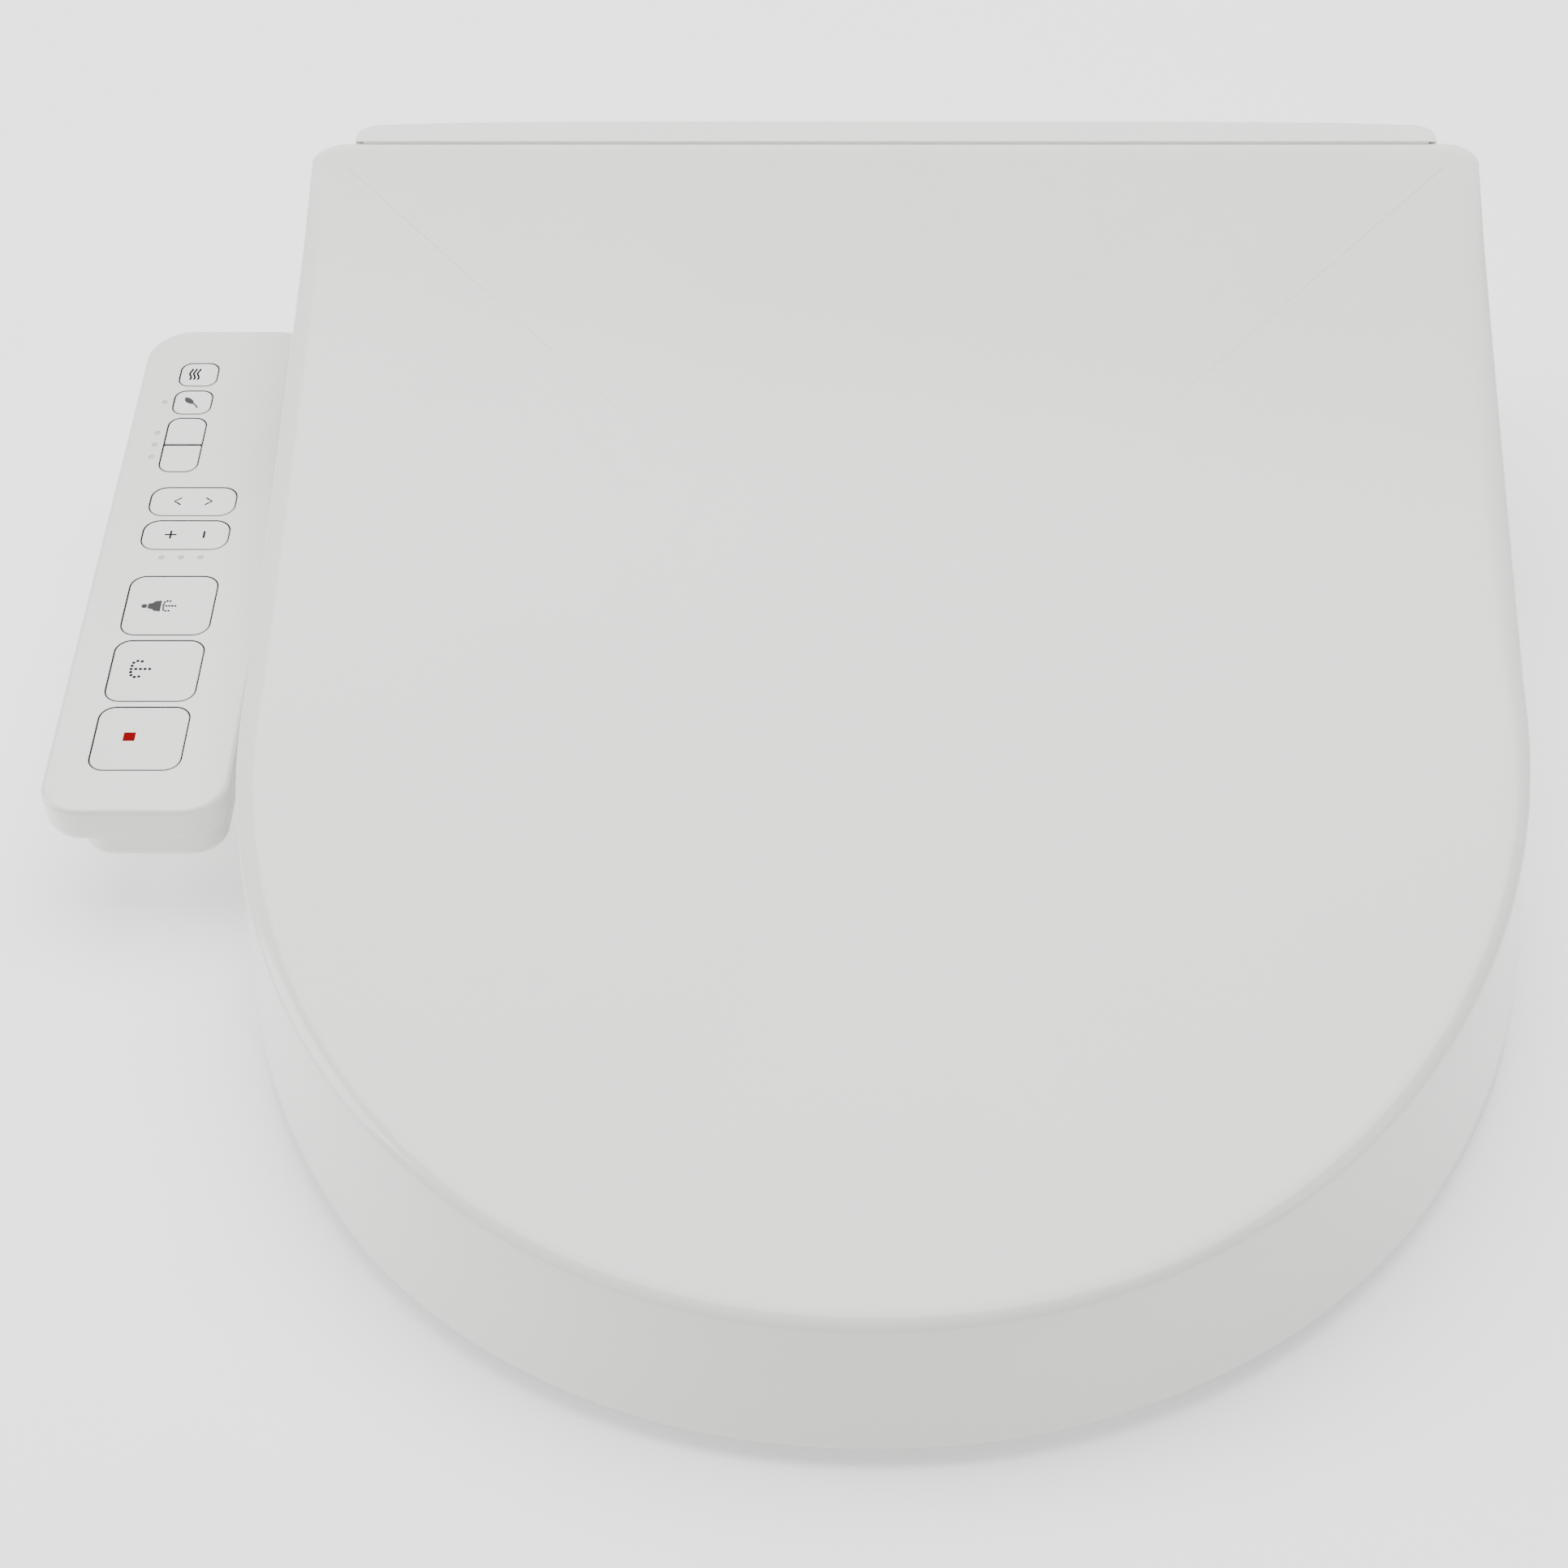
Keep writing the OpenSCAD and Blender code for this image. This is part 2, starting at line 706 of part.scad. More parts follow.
// Works in a frame whose Z runs up the nozzle's axis and whose Y is up across it
module nozzle_frame(x) {
    translate([x, nozzle_tip.x, nozzle_tip.y]) rotate([-(90 - nozzle_tilt), 0, 0]) rotate([0, 0, 180])
        children();
}

module nozzle_tube(x) {
    color("#d9dadb") nozzle_frame(x) difference() {
        cylinder(h = tube_len, r = nozzle_r);
        translate([0, 0, 14]) cylinder(h = tube_len, r = 2);
        translate([0, 2, 7]) rotate([-90, 0, 0]) cylinder(h = 10, r = 0.6);
    }
}

module rack(x) {
    foot = rack_pitch_h - gear_ded;
    half = (tooth_pitch - gear_thin) / 4;
    lean = tan(20);
    first = floor((gear_along - 8) / tooth_pitch);
    last = floor((tube_len - 4) / tooth_pitch);
    color("#c9cacb") nozzle_frame(x) rotate([0, -90, 0]) translate([0, 0, -2.5]) linear_extrude(5) {
        translate([first * tooth_pitch, nozzle_r + eps]) square([tube_len - first * tooth_pitch, foot - nozzle_r]);
        for (i = [first : last])
            translate([tooth_pitch * (i + 0.5) + gear_along % tooth_pitch - tooth_pitch, rack_pitch_h])
                polygon([
                    [-half - gear_ded * lean, -gear_ded - 0.1], [half + gear_ded * lean, -gear_ded - 0.1],
                    [half - gear_add * lean, gear_add], [-half + gear_add * lean, gear_add]
                ]);
    }
}

function involute(a) = tan(a) - a * PI / 180;

function flank(r) = // half angle of a tooth at radius r, in degrees
    let (base = gear_r * cos(20), t = (tooth_pitch - gear_thin) / 4 / gear_r)
    (t + involute(20) - involute(r > base ? acos(base / r) : 0)) * 180 / PI;

module gear_shape() {
    root = gear_r - gear_ded;
    tip = gear_r + gear_add;
    radii = [root, gear_r * cos(20) + 0.02, gear_r, gear_r + gear_add / 2, tip];
    polygon([
        for (i = [0 : gear_teeth - 1])
            let (mid = 360 / gear_teeth * i)
            each concat(
                [for (r = radii) r * [cos(mid - flank(r)), sin(mid - flank(r))]],
                [for (k = [4 : -1 : 0]) radii[k] * [cos(mid + flank(radii[k])), sin(mid + flank(radii[k]))]]
            )
    ]);
}

function pinion_centre() = // y and z of the pinions' axis
    [nozzle_tip.x + gear_along * cos(nozzle_tilt) - (rack_pitch_h + gear_r) * sin(nozzle_tilt),
     nozzle_tip.y + gear_along * sin(nozzle_tilt) + (rack_pitch_h + gear_r) * cos(nozzle_tilt)];

module pinion(side) {
    c = pinion_centre();
    color("#e8e4d6") translate([side * nozzle_x, c.x, c.y]) rotate([0, 90, 0]) {
        // a tooth points straight at the rack when the tooth space of the rack is below it
        translate([0, 0, -3]) linear_extrude(6) rotate(nozzle_tilt) gear_shape();
        translate([0, 0, side > 0 ? 2.9 : -11]) cylinder(h = 8.1, r = 2);
    }
}

module nozzle_motors() {
    c = pinion_centre();
    color(dark) both() translate([nozzle_x + 8, c.x, c.y]) rotate([0, 90, 0]) difference() {
        union() {
            cylinder(h = 19, r = 10);
            translate([-4, 9, 0]) cube([8, 5, 1.5]);
        }
        translate([0, 0, -1]) cylinder(h = 6, r = 2 + fit_gap);
    }
}

module nozzle_cap(x) {
    color(white) nozzle_frame(x) translate([0, 0, -4.01]) difference() {
        cylinder(h = 4, r = nozzle_r + 0.9);
        translate([0, 0, -1]) cylinder(h = 2, r = 1.2);
    }
}

module nozzle_cradle() {
    guides = [12, 106];             // where the two guide blocks begin, along the nozzles
    guide_len = 8;
    color(grey) {
        nozzle_frame(0) {
            for (z = guides) difference() {
                translate([-24, -7, z]) cube([48, 15, guide_len]);
                for (x = [-nozzle_x, nozzle_x]) translate([x, 0, z - 1]) {
                    cylinder(h = guide_len + 2, r = nozzle_r + fit_gap, $fn = 96);
                    translate([-3, 0, 0]) cube([6, 20, guide_len + 2]);
                }
            }
            span = guides[1] - guides[0] - guide_len + 0.2;
            for (x = [-24, 22]) translate([x, -7, guides[0] + guide_len - 0.1]) cube([2, 6, span]);
            translate([-2, -7, guides[0] + guide_len - 0.1]) cube([4, 5, span]);
        }
        // legs down to the base plate
        both() {
            translate([18.6, 17, floor_z]) cube([5.4, 6, 42]);
            translate([18.6, -65.5, 5.5]) cube([5.4, 5, 5]);
        }
    }
}

module nozzle_guard() {
    // Front plate over the nozzles' mouth, with a hole for each
    z0 = 6.2;
    color(white) difference() {
        translate([-hood_half + wall + 0.3, -hood_front, z0]) cube([2 * (hood_half - wall - 0.3), 2, 28]);
        for (x = [-nozzle_x, nozzle_x]) translate([x - 8.5, -hood_front - 1, z0 - 1]) cube([17, 4, 12]);
    }
}

// --------------------------------------------------------- deodoriser

fan_axis = [-28, 58];               // y and z of the fan's shaft

module fan_housing() {
    color(grey) difference() {
        union() {
            roller(fan_axis, 20, 150, 166);
            translate([150, fan_axis.x - 20, 33.2]) cube([16, 40, 25]);
        }
        roller(fan_axis, 17.5, 152, 167);
        translate([152, fan_axis.x - 12, 33]) cube([12, 24, 14]);
        roller(fan_axis, 4, 149, 155);
    }
}

module fan_motor() {
    color(dark) difference() {
        roller(fan_axis, 11, 136, 149.9);
        roller(fan_axis, 1.5 + fit_gap, 142, 151);
    }
}

module deodoriser_fan() {
    color("#2c2e30") {
        roller(fan_axis, 1.5, 143, 154.5);
        roller(fan_axis, 5.5, 154, 164);
        for (i = [0 : 8]) translate([154, fan_axis.x, fan_axis.y]) rotate([40 * i, 0, 0])
            translate([0, 4.9, -0.6]) cube([10, 11, 1.2]);
    }
}

module carbon_filter() {
    low = [150, -43, 10];
    size = [case_half + 0.3 + eps - low.x, 30, 23];
    skin = [2, 2, 2];
    color(white) difference() {
        union() {
            translate([case_half + 0.3, low.y - 2, low.z - 0.4]) cube([3, size.y + 4, size.z + 0.8]);
            translate(low) cube(size);
        }
        translate(low + skin) cube([36, size.y - 4, size.z]);
    }
    // pleats of the carbon pack
    color(dark) for (i = [0 : 8])
        translate(low + skin + [4 * i, eps, 0]) cube([2, size.y - 4 - 2 * eps, 19]);
}

// -------------------------------------------------------- electronics

module main_board() {
    low = [-170, -42, board_z];
    thick = 1.6;
    color("#2e6b45") translate(low) cube([50, 80, thick]);
    // relays and capacitors: place on the board, and width
    color(dark) for (p = [[10, 8, 12], [26, 8, 20], [4, 46, 22], [32, 50, 12]])
        translate(low + [p.x, p.y, thick - 0.1]) cube([p.z, 14, 8]);
}

module power_module() {
    low = [-104, -40, floor_z];
    size = [44, 76, 26];
    color("#c8b560") translate(low) cube(size);
    // transformer on top
    color(dark) translate(low + [6, 6, size.z - 0.1]) cube([32, 30, 12]);
}

module cord_gland() {
    // The mains cord leaves the housing through this
    color(dark) translate([cord_place.x, case_rear - 14, cord_place.z]) rotate([-90, 0, 0]) difference() {
        union() {
            cylinder(h = 14, r = 7);
            translate([0, 0, 11]) cylinder(h = 3, r = 10);
        }
        translate([0, 0, -1]) cylinder(h = 30, r = cord_r, $fn = 96);
    }
}

// -------------------------------------------------------------- panel

// Works on the panel's sloping top face: y runs up the slope from its front edge, z = 0 is the face
module on_panel() {
    translate([0, -panel_front, panel_z]) rotate([panel_slope, 0, 0]) children();
}

key_left = -251.4;
key_pitch = 31;
small_w = 12.8;
small_h = 12.2;
rocker_h = 14.1;
stop_y = 18.5;
rocker_y = [122.2, 139.2];
temp_y = 161.9;
pair_h = 13.7;
small_y = [192.6, 207.8];
key_depth = 3;
panel_low = -25;                    // underside of the panel's lower tier
panel_corner = 13;                  // radius of the panel's corners

module panel_top() {
    w = panel_out - panel_in;
    color(white) on_panel() difference() {
        translate([-panel_out, 0, -panel_tier]) linear_extrude(panel_tier) rounded([w, panel_len], panel_corner);
        translate([-panel_out + wall, wall, -panel_tier - 1]) linear_extrude(panel_tier + 1 - wall)
            rounded([w - 2 * wall, panel_len - 2 * wall], panel_corner - wall);
        translate([0, 0, -wall - 1]) linear_extrude(wall + 2) {
            for (k = keys()) translate([k[1] - key_gap, k[2] - key_gap])
                rounded([k[3] + 2 * key_gap, k[4] + 2 * key_gap], k[5] + key_gap);
        }
        for (p = led_places()) translate([p.x, p.y, -5]) cylinder(h = 10, r = 1);
    }
}

// name, left, low end, width, length, corner radius
function keys() = concat(
    [for (i = [0 : 2]) [i, key_left, stop_y + i * key_pitch, key_side + 0.7, key_side, 5]],
    [for (y = rocker_y) [3, key_left, y, key_side + 0.7, rocker_h, 4]],
    [for (i = [0, 1]) [5, key_left, temp_y + i * (pair_h + 0.4 + 2 * key_gap - 0.5), small_w, pair_h, 2.5]],
    [for (y = small_y) [7, key_left, y, small_w, small_h, 3]]
);

function led_places() = concat(
    [for (i = [0 : 2]) [-243.4 + 6.5 * i, 118.1]],
    [for (i = [0 : 2]) [-254.8, 169.7 + 6.3 * i]],
    [[-254.8, 198.9]]
);

module key(i) {
    k = keys()[i];
    color(white) on_panel() {
        translate([k[1], k[2], -key_depth]) linear_extrude(key_depth) rounded([k[3], k[4]], k[5]);
        // stem over the switch, and a flange that keeps the key in the panel
        translate([k[1] + k[3] / 2, k[2] + k[4] / 2, -key_depth - 2]) cylinder(h = 2.1, r = 2.5);
    }
}

module panel_base() {
    w = panel_out - panel_in;
    low = panel_low;
    color(white) difference() {
        union() {
            on_panel() difference() {
                union() {
                    translate([-panel_out + 1, 1, -panel_tier - 2]) linear_extrude(2 - eps)
                        rounded([w - 2, panel_len - 2], panel_corner - 1);
                    translate([-panel_out + 10, 4, low]) linear_extrude(-low - panel_tier - 1)
                        rounded([w - 13, panel_len - 9], 10);
                }
                translate([-panel_out + 12.5, 6.5, low + wall]) linear_extrude(30)
                    rounded([w - 18, panel_len - 14], 6);
            }
            // arm to the housing
            translate([-212, -50, 44]) cube([212 - case_half - eps, 34, 10]);
        }
        translate([-213, -47, 46.5]) cube([25, 28, 5]);
    }
}

module panel_board() {
    color("#2e6b45") on_panel() translate([-panel_out + 14, 9, -15]) cube([39, 220, 1.6]);
}

module key_mat() {
    color(rubber) on_panel() {
        translate([-panel_out + 4, 9, -8.6]) cube([45, 220, 1.4]);
        for (k = keys()) translate([k[1] + k[3] / 2, k[2] + k[4] / 2, -7.25])
            cylinder(h = 7.2 - key_depth - 2 - key_travel, r = 2.2);
    }
}

module led_lenses() {
    color("#cfd8cf") on_panel() for (p = led_places()) translate([p.x, p.y, -5]) cylinder(h = 5, r = 0.97);
}

module panel_screws() {
    color(steel) on_panel() for (x = [-247, -216], y = [14, 224])
        translate([x, y, panel_low - 0.8]) cylinder(h = 0.8, r = 2.4);
}

lid_shell();
lid_bumpers();
lid_hinge_pins();
seat_top();
seat_bottom();
seat_heater();
seat_bumpers();
seat_hinge_pins();
seat_damper();
seat_sensor();
seat_screws();
base_plate();
upper_case();
case_screws();
housing_pads();
mounting_bracket();
lid_damper();
release_button();
release_spring();
water_inlet();
inlet_valve();
inlet_hose();
flow_selector();
nozzle_hoses();
water_tank();
tank_heater();
nozzle_cradle();
nozzle_guard();
nozzle_motors();
nozzle_tube(-nozzle_x);  // wash_nozzle
rack(-nozzle_x);  // wash_rack
nozzle_cap(-nozzle_x);  // wash_cap
pinion(-1);  // wash_pinion
nozzle_tube(nozzle_x);  // bidet_nozzle
rack(nozzle_x);  // bidet_rack
nozzle_cap(nozzle_x);  // bidet_cap
pinion(1);  // bidet_pinion
fan_housing();
fan_motor();
deodoriser_fan();
carbon_filter();
main_board();
power_module();
cord_gland();
panel_top();
panel_base();
panel_board();
key_mat();
led_lenses();
panel_screws();
key(0);  // stop_key
key(1);  // wash_key
key(2);  // bidet_key
key(3);  // strength_rocker
key(4);  // position_rocker
key(5);  // water_key
key(6);  // seat_key
key(7);  // eco_key
key(8);  // massage_key
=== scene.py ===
"""Looks of the electric bidet seat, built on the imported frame. Metres; helper lengths are in millimetres."""
import json
import math

import bmesh
import bpy
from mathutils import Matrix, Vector


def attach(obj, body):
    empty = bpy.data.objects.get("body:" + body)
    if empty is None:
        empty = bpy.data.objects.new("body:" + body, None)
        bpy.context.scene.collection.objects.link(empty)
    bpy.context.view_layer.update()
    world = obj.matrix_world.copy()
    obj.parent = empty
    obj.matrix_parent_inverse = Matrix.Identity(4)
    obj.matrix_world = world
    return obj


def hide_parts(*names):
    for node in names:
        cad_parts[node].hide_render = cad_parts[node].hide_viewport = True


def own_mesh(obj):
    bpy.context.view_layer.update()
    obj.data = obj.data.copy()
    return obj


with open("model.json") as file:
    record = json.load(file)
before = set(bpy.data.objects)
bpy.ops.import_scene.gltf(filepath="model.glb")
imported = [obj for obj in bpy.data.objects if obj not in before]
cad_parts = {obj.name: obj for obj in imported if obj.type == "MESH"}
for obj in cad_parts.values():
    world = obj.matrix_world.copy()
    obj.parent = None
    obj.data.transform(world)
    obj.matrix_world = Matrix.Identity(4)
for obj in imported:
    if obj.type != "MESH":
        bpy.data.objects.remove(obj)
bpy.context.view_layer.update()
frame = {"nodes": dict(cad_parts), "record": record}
nodes = frame["nodes"]
MM = 0.001


# ------------------------------------------------------------ materials

def new_material(name):
    """A material, its tree, its shader and its object coordinates."""
    mat = bpy.data.materials.new(name)
    mat.use_nodes = True
    tree = mat.node_tree
    shader = tree.nodes["Principled BSDF"]
    coords = tree.nodes.new("ShaderNodeTexCoord")
    return mat, tree, shader, coords.outputs["Object"]


def noise(tree, coords, scale, detail=3.0, stretch=(1, 1, 1)):
    """A noise, longer along an axis where stretch is below 1."""
    mapping = tree.nodes.new("ShaderNodeMapping")
    mapping.inputs["Scale"].default_value = stretch
    tree.links.new(coords, mapping.inputs["Vector"])
    tex = tree.nodes.new("ShaderNodeTexNoise")
    tex.inputs["Scale"].default_value = scale
    tex.inputs["Detail"].default_value = detail
    tree.links.new(mapping.outputs["Vector"], tex.inputs["Vector"])
    return tex.outputs["Fac"]


def ramp(tree, fac, stops):
    """A colour ramp from (position, colour) pairs."""
    node = tree.nodes.new("ShaderNodeValToRGB")
    el = node.color_ramp.elements
    while len(el) < len(stops):
        el.new(0.5)
    for e, (pos, colour) in zip(el, stops):
        e.position = pos
        e.color = (*colour, 1)
    tree.links.new(fac, node.inputs["Fac"])
    return node.outputs["Color"]


def spread(tree, fac, low, high):
    """The middle of a noise's range, stretched to run from low to high."""
    node = tree.nodes.new("ShaderNodeMapRange")
    node.inputs["From Min"].default_value = 0.3
    node.inputs["From Max"].default_value = 0.7
    node.inputs["To Min"].default_value = low
    node.inputs["To Max"].default_value = high
    tree.links.new(fac, node.inputs["Value"])
    return node.outputs["Result"]


def bump(tree, shader, *layers):
    """Each layer is (height socket, strength, distance in metres)."""
    last = None
    for height, strength, distance in layers:
        node = tree.nodes.new("ShaderNodeBump")
        node.inputs["Strength"].default_value = strength
        node.inputs["Distance"].default_value = distance
        tree.links.new(height, node.inputs["Height"])
        if last:
            tree.links.new(last, node.inputs["Normal"])
        last = node.outputs["Normal"]
    tree.links.new(last, shader.inputs["Normal"])


def shade(colour, k):
    """The colour made k times as bright."""
    return tuple(min(1.0, c * k) for c in colour)


def plastic(name, colour, rough, coat=0.0, grain=0.0, grain_scale=2500, cloud=0.02, wave=0.00003,
            specular=0.5):
    """Moulded plastic: faint clouding, uneven polish, long soft waves and a fine mould grain."""
    mat, tree, shader, co = new_material(name)
    clouds = noise(tree, co, 9, 4)
    tints = [(0.3, shade(colour, 1 - cloud)), (0.7, shade(colour, 1 + cloud / 2))]
    tree.links.new(ramp(tree, clouds, tints), shader.inputs["Base Color"])
    polish = noise(tree, co, 60, 5)
    tree.links.new(spread(tree, polish, rough * 0.88, rough * 1.12), shader.inputs["Roughness"])
    layers = [(noise(tree, co, 22, 1), 0.5, wave)]
    if grain:
        layers.append((noise(tree, co, grain_scale, 2), 0.6, grain))
    else:
        layers.append((noise(tree, co, 900, 2), 0.25, 0.000004))
    bump(tree, shader, *layers)
    if coat:
        shader.inputs["Coat Weight"].default_value = coat
        shader.inputs["Coat Roughness"].default_value = 0.12
    shader.inputs["IOR"].default_value = 1.49
    shader.inputs["Specular IOR Level"].default_value = specular
    return mat


def metal(name, colour, rough, stretch, cloud=0.08):
    """Brushed steel: fine lines along one direction."""
    mat, tree, shader, co = new_material(name)
    lines = noise(tree, co, 700, 3, stretch)
    tints = [(0.3, shade(colour, 1 - cloud)), (0.7, shade(colour, 1 + cloud))]
    tree.links.new(ramp(tree, lines, tints), shader.inputs["Base Color"])
    polish = noise(tree, co, 120, 4)
    tree.links.new(spread(tree, polish, rough * 0.8, rough * 1.25), shader.inputs["Roughness"])
    bump(tree, shader, (lines, 0.35, 0.00001))
    shader.inputs["Metallic"].default_value = 1.0
    return mat


def circuit(name, colour):
    """Solder mask over copper tracks, which show as a slightly raised grid of lines."""
    mat, tree, shader, co = new_material(name)
    tracks = tree.nodes.new("ShaderNodeTexBrick")
    tracks.inputs["Scale"].default_value = 160
    tracks.inputs["Mortar Size"].default_value = 0.035
    tracks.inputs["Mortar Smooth"].default_value = 0.2
    tracks.inputs["Color1"].default_value = (*colour, 1)
    tracks.inputs["Color2"].default_value = (*shade(colour, 0.8), 1)
    tracks.inputs["Mortar"].default_value = (*shade(colour, 1.9), 1)
    tree.links.new(co, tracks.inputs["Vector"])
    tree.links.new(tracks.outputs["Color"], shader.inputs["Base Color"])
    tree.links.new(spread(tree, noise(tree, co, 200), 0.3, 0.42), shader.inputs["Roughness"])
    bump(tree, shader, (tracks.outputs["Fac"], 0.5, 0.00008), (noise(tree, co, 1200, 2), 0.3, 0.00001))
    return mat


def foil(name, colour):
    """Heater foil: a wavy resistance track printed on a carrier film."""
    mat, tree, shader, co = new_material(name)
    wave = tree.nodes.new("ShaderNodeTexWave")
    wave.inputs["Scale"].default_value = 38
    wave.inputs["Distortion"].default_value = 3.0
    wave.inputs["Detail Scale"].default_value = 1.5
    tree.links.new(co, wave.inputs["Vector"])
    tree.links.new(ramp(tree, wave.outputs["Fac"], [(0.42, shade(colour, 0.7)), (0.58, colour)]),
                   shader.inputs["Base Color"])
    tree.links.new(spread(tree, noise(tree, co, 90), 0.28, 0.5), shader.inputs["Roughness"])
    bump(tree, shader, (wave.outputs["Fac"], 0.4, 0.0001), (noise(tree, co, 150, 3), 0.5, 0.0002))
    shader.inputs["Metallic"].default_value = 0.85
    return mat


MATS = {                             # one for each material slot of the record
    "shell_white": plastic("shell_white", (0.80, 0.80, 0.775), 0.2, coat=0.35),
    "key_white": plastic("key_white", (0.81, 0.81, 0.79), 0.34, grain=0.00001, grain_scale=1800),
    "base_grey": plastic("base_grey", (0.62, 0.62, 0.61), 0.48, grain=0.00003, grain_scale=1400),
    "valve_white": plastic("valve_white", (0.76, 0.76, 0.73), 0.42, grain=0.00002),
    "nozzle_plastic": plastic("nozzle_plastic", (0.79, 0.79, 0.76), 0.3, grain=0.00001),
    "dark_plastic": plastic("dark_plastic", (0.045, 0.046, 0.05), 0.45, grain=0.00003, cloud=0.12),
    "rubber": plastic("rubber", (0.12, 0.12, 0.125), 0.72, grain=0.00004, grain_scale=1700, cloud=0.1),
    "steel": metal("steel", (0.62, 0.62, 0.63), 0.3, (0.06, 1, 1)),
    "hose": plastic("hose", (0.68, 0.71, 0.74), 0.33, cloud=0.05),
    "board_green": circuit("board_green", (0.03, 0.16, 0.07)),
    "power_yellow": plastic("power_yellow", (0.55, 0.43, 0.13), 0.4, grain=0.00002, cloud=0.08),
    "heater_foil": foil("heater_foil", (0.72, 0.55, 0.36)),
    "lens": plastic("lens", (0.50, 0.51, 0.50), 0.4, grain=0.00001, cloud=0.05),
}
# the prints and the ridges sit on the keys; the ridges are lighter than the keys, a painted highlight, and the
# near-black rings in the key gaps are painted shade
INK = plastic("ink_grey", (0.012, 0.0125, 0.014), 0.8, grain=0.000006, cloud=0.1, specular=0.08)
# near-black colour for the rings in the gaps round the keys: painted shade in those gaps
GAP_SHADE = plastic("seal_rubber", (0.022, 0.022, 0.024), 0.85, grain=0.00002, cloud=0.1, specular=0.08)
SOFT_INK = plastic("ink_soft", (0.06, 0.061, 0.063), 0.8, grain=0.000006, cloud=0.1, specular=0.08)
RED = plastic("ink_red", (0.2, 0.0, 0.002), 0.8, grain=0.000006, cloud=0.08, specular=0.05)
# lighter than the key white: a painted highlight on the rockers' middle ridges, which also stand a little
# proud
RIDGE_HIGHLIGHT = plastic("key_ridge_highlight", (0.86, 0.86, 0.85), 0.3, grain=0.000006)


# ------------------------------------------------------------ mesh tools

def mesh_of(name, verts, faces, weld):
    """A mesh from vertices in millimetres, with equal points joined and its faces turned outwards."""
    me = bpy.data.meshes.new(name)
    me.from_pydata([tuple(c * MM for c in v) for v in verts], [], faces)
    bm = bmesh.new()
    bm.from_mesh(me)
    bmesh.ops.remove_doubles(bm, verts=bm.verts, dist=weld)
    bmesh.ops.recalc_face_normals(bm, faces=bm.faces)
    bm.to_mesh(me)
    bm.free()
    return me


def linked(name, data):
    """A new object in the scene."""
    ob = bpy.data.objects.new(name, data)
    bpy.context.scene.collection.objects.link(ob)
    return ob


def build(name, verts, faces, mat, body, slot, replaces=(), smooth=40.0):
    """A piece from vertices in millimetres."""
    return place(name, mesh_of(name, verts, faces, 1e-6), mat, body, replaces, smooth)


def place(name, me, mat, body, replaces=(), smooth=40.0):
    """A piece from a finished mesh; edges sharper than smooth degrees stay sharp."""
    ob = linked(name, me)
    me.materials.clear()
    me.materials.append(mat)
    me.polygons.foreach_set("use_smooth", [True] * len(me.polygons))
    me.set_sharp_from_angle(angle=math.radians(smooth))
    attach(ob, body)
    if replaces:
        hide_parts(*replaces)
    return ob


def loft(rings, first=None, last=None):
    """Quads between closed rings of equal length; first and last are optional end points for a fan."""
    n = len(rings[0])
    verts = [p for ring in rings for p in ring]
    faces = []
    for a in range(len(rings) - 1):
        for i in range(n):
            j = (i + 1) % n
            faces.append((a * n + i, a * n + j, (a + 1) * n + j, (a + 1) * n + i))
    for point, start in ((first, 0), (last, (len(rings) - 1) * n)):
        if point is not None:
            verts.append(point)
            c = len(verts) - 1
            faces += [(start + i, start + (i + 1) % n, c) for i in range(n)]
    return verts, faces


def merge(*parts):
    """Several parts as one; a part is its vertices and its faces."""
    verts, faces = [], []
    for v, f in parts:
        off = len(verts)
        verts += v
        faces += [tuple(i + off for i in q) for q in f]
    return verts, faces


def move(part, fn):
    """The part with every vertex sent through fn."""
    return [fn(*v) for v in part[0]], part[1]


def round_rect(x0, y0, x1, y1, radii, steps=7):
    """Corner radii in the order low-left, low-right, high-right, high-left."""
    pts = []
    for (cx, cy, sx, sy, a0), r in zip(((x0, y0, 1, 1, 180), (x1, y0, -1, 1, 270), (x1, y1, -1, -1, 0),
                                        (x0, y1, 1, -1, 90)), radii):
        for k in range(steps + 1):
            a = math.radians(a0 + 90 * k / steps)
            pts.append((cx + sx * r + r * math.cos(a), cy + sy * r + r * math.sin(a)))
    return pts


def slab(x0, y0, x1, y1, z0, z1, radii, top=0.6, low=0.3, crown=0.0, steps=7, round_steps=5):
    """A rounded plate with rolled edges of radius top and low, its face crowned by crown."""
    def ring(inset, z):
        corners = [max(r - inset, 0.05) for r in radii]
        plan = round_rect(x0 + inset, y0 + inset, x1 - inset, y1 - inset, corners, steps)
        return [(x, y, z) for x, y in plan]
    rings = []
    for k in range(round_steps + 1):
        a = math.pi / 2 * k / round_steps
        rings.append(ring(low * (1 - math.sin(a)), z0 + low * (1 - math.cos(a))))
    for k in range(round_steps + 1):
        a = math.pi / 2 * k / round_steps
        rings.append(ring(top * (1 - math.cos(a)), z1 - crown - top + top * math.sin(a)))
    cx, cy = (x0 + x1) / 2, (y0 + y1) / 2
    last = rings[-1]
    for s in (0.92, 0.75, 0.5, 0.25):
        rings.append([(cx + (x - cx) * s, cy + (y - cy) * s, z1 - crown * s * s) for x, y, z in last])
    return loft(rings, (cx, cy, z0), (cx, cy, z1))


def post(centre, radius, z0, z1, edge=0.5, n=40):
    """An upright round bar with rolled ends."""
    rings = []
    for z, r in ((z0, radius - edge), (z0 + edge * 0.3, radius - edge * 0.3), (z0 + edge, radius),
                 (z1 - edge, radius), (z1 - edge * 0.3, radius - edge * 0.3), (z1, radius - edge)):
        turns = [2 * math.pi * i / n for i in range(n)]
        rings.append([(centre[0] + r * math.cos(a), centre[1] + r * math.sin(a), z) for a in turns])
    return loft(rings, (*centre, z0), (*centre, z1))


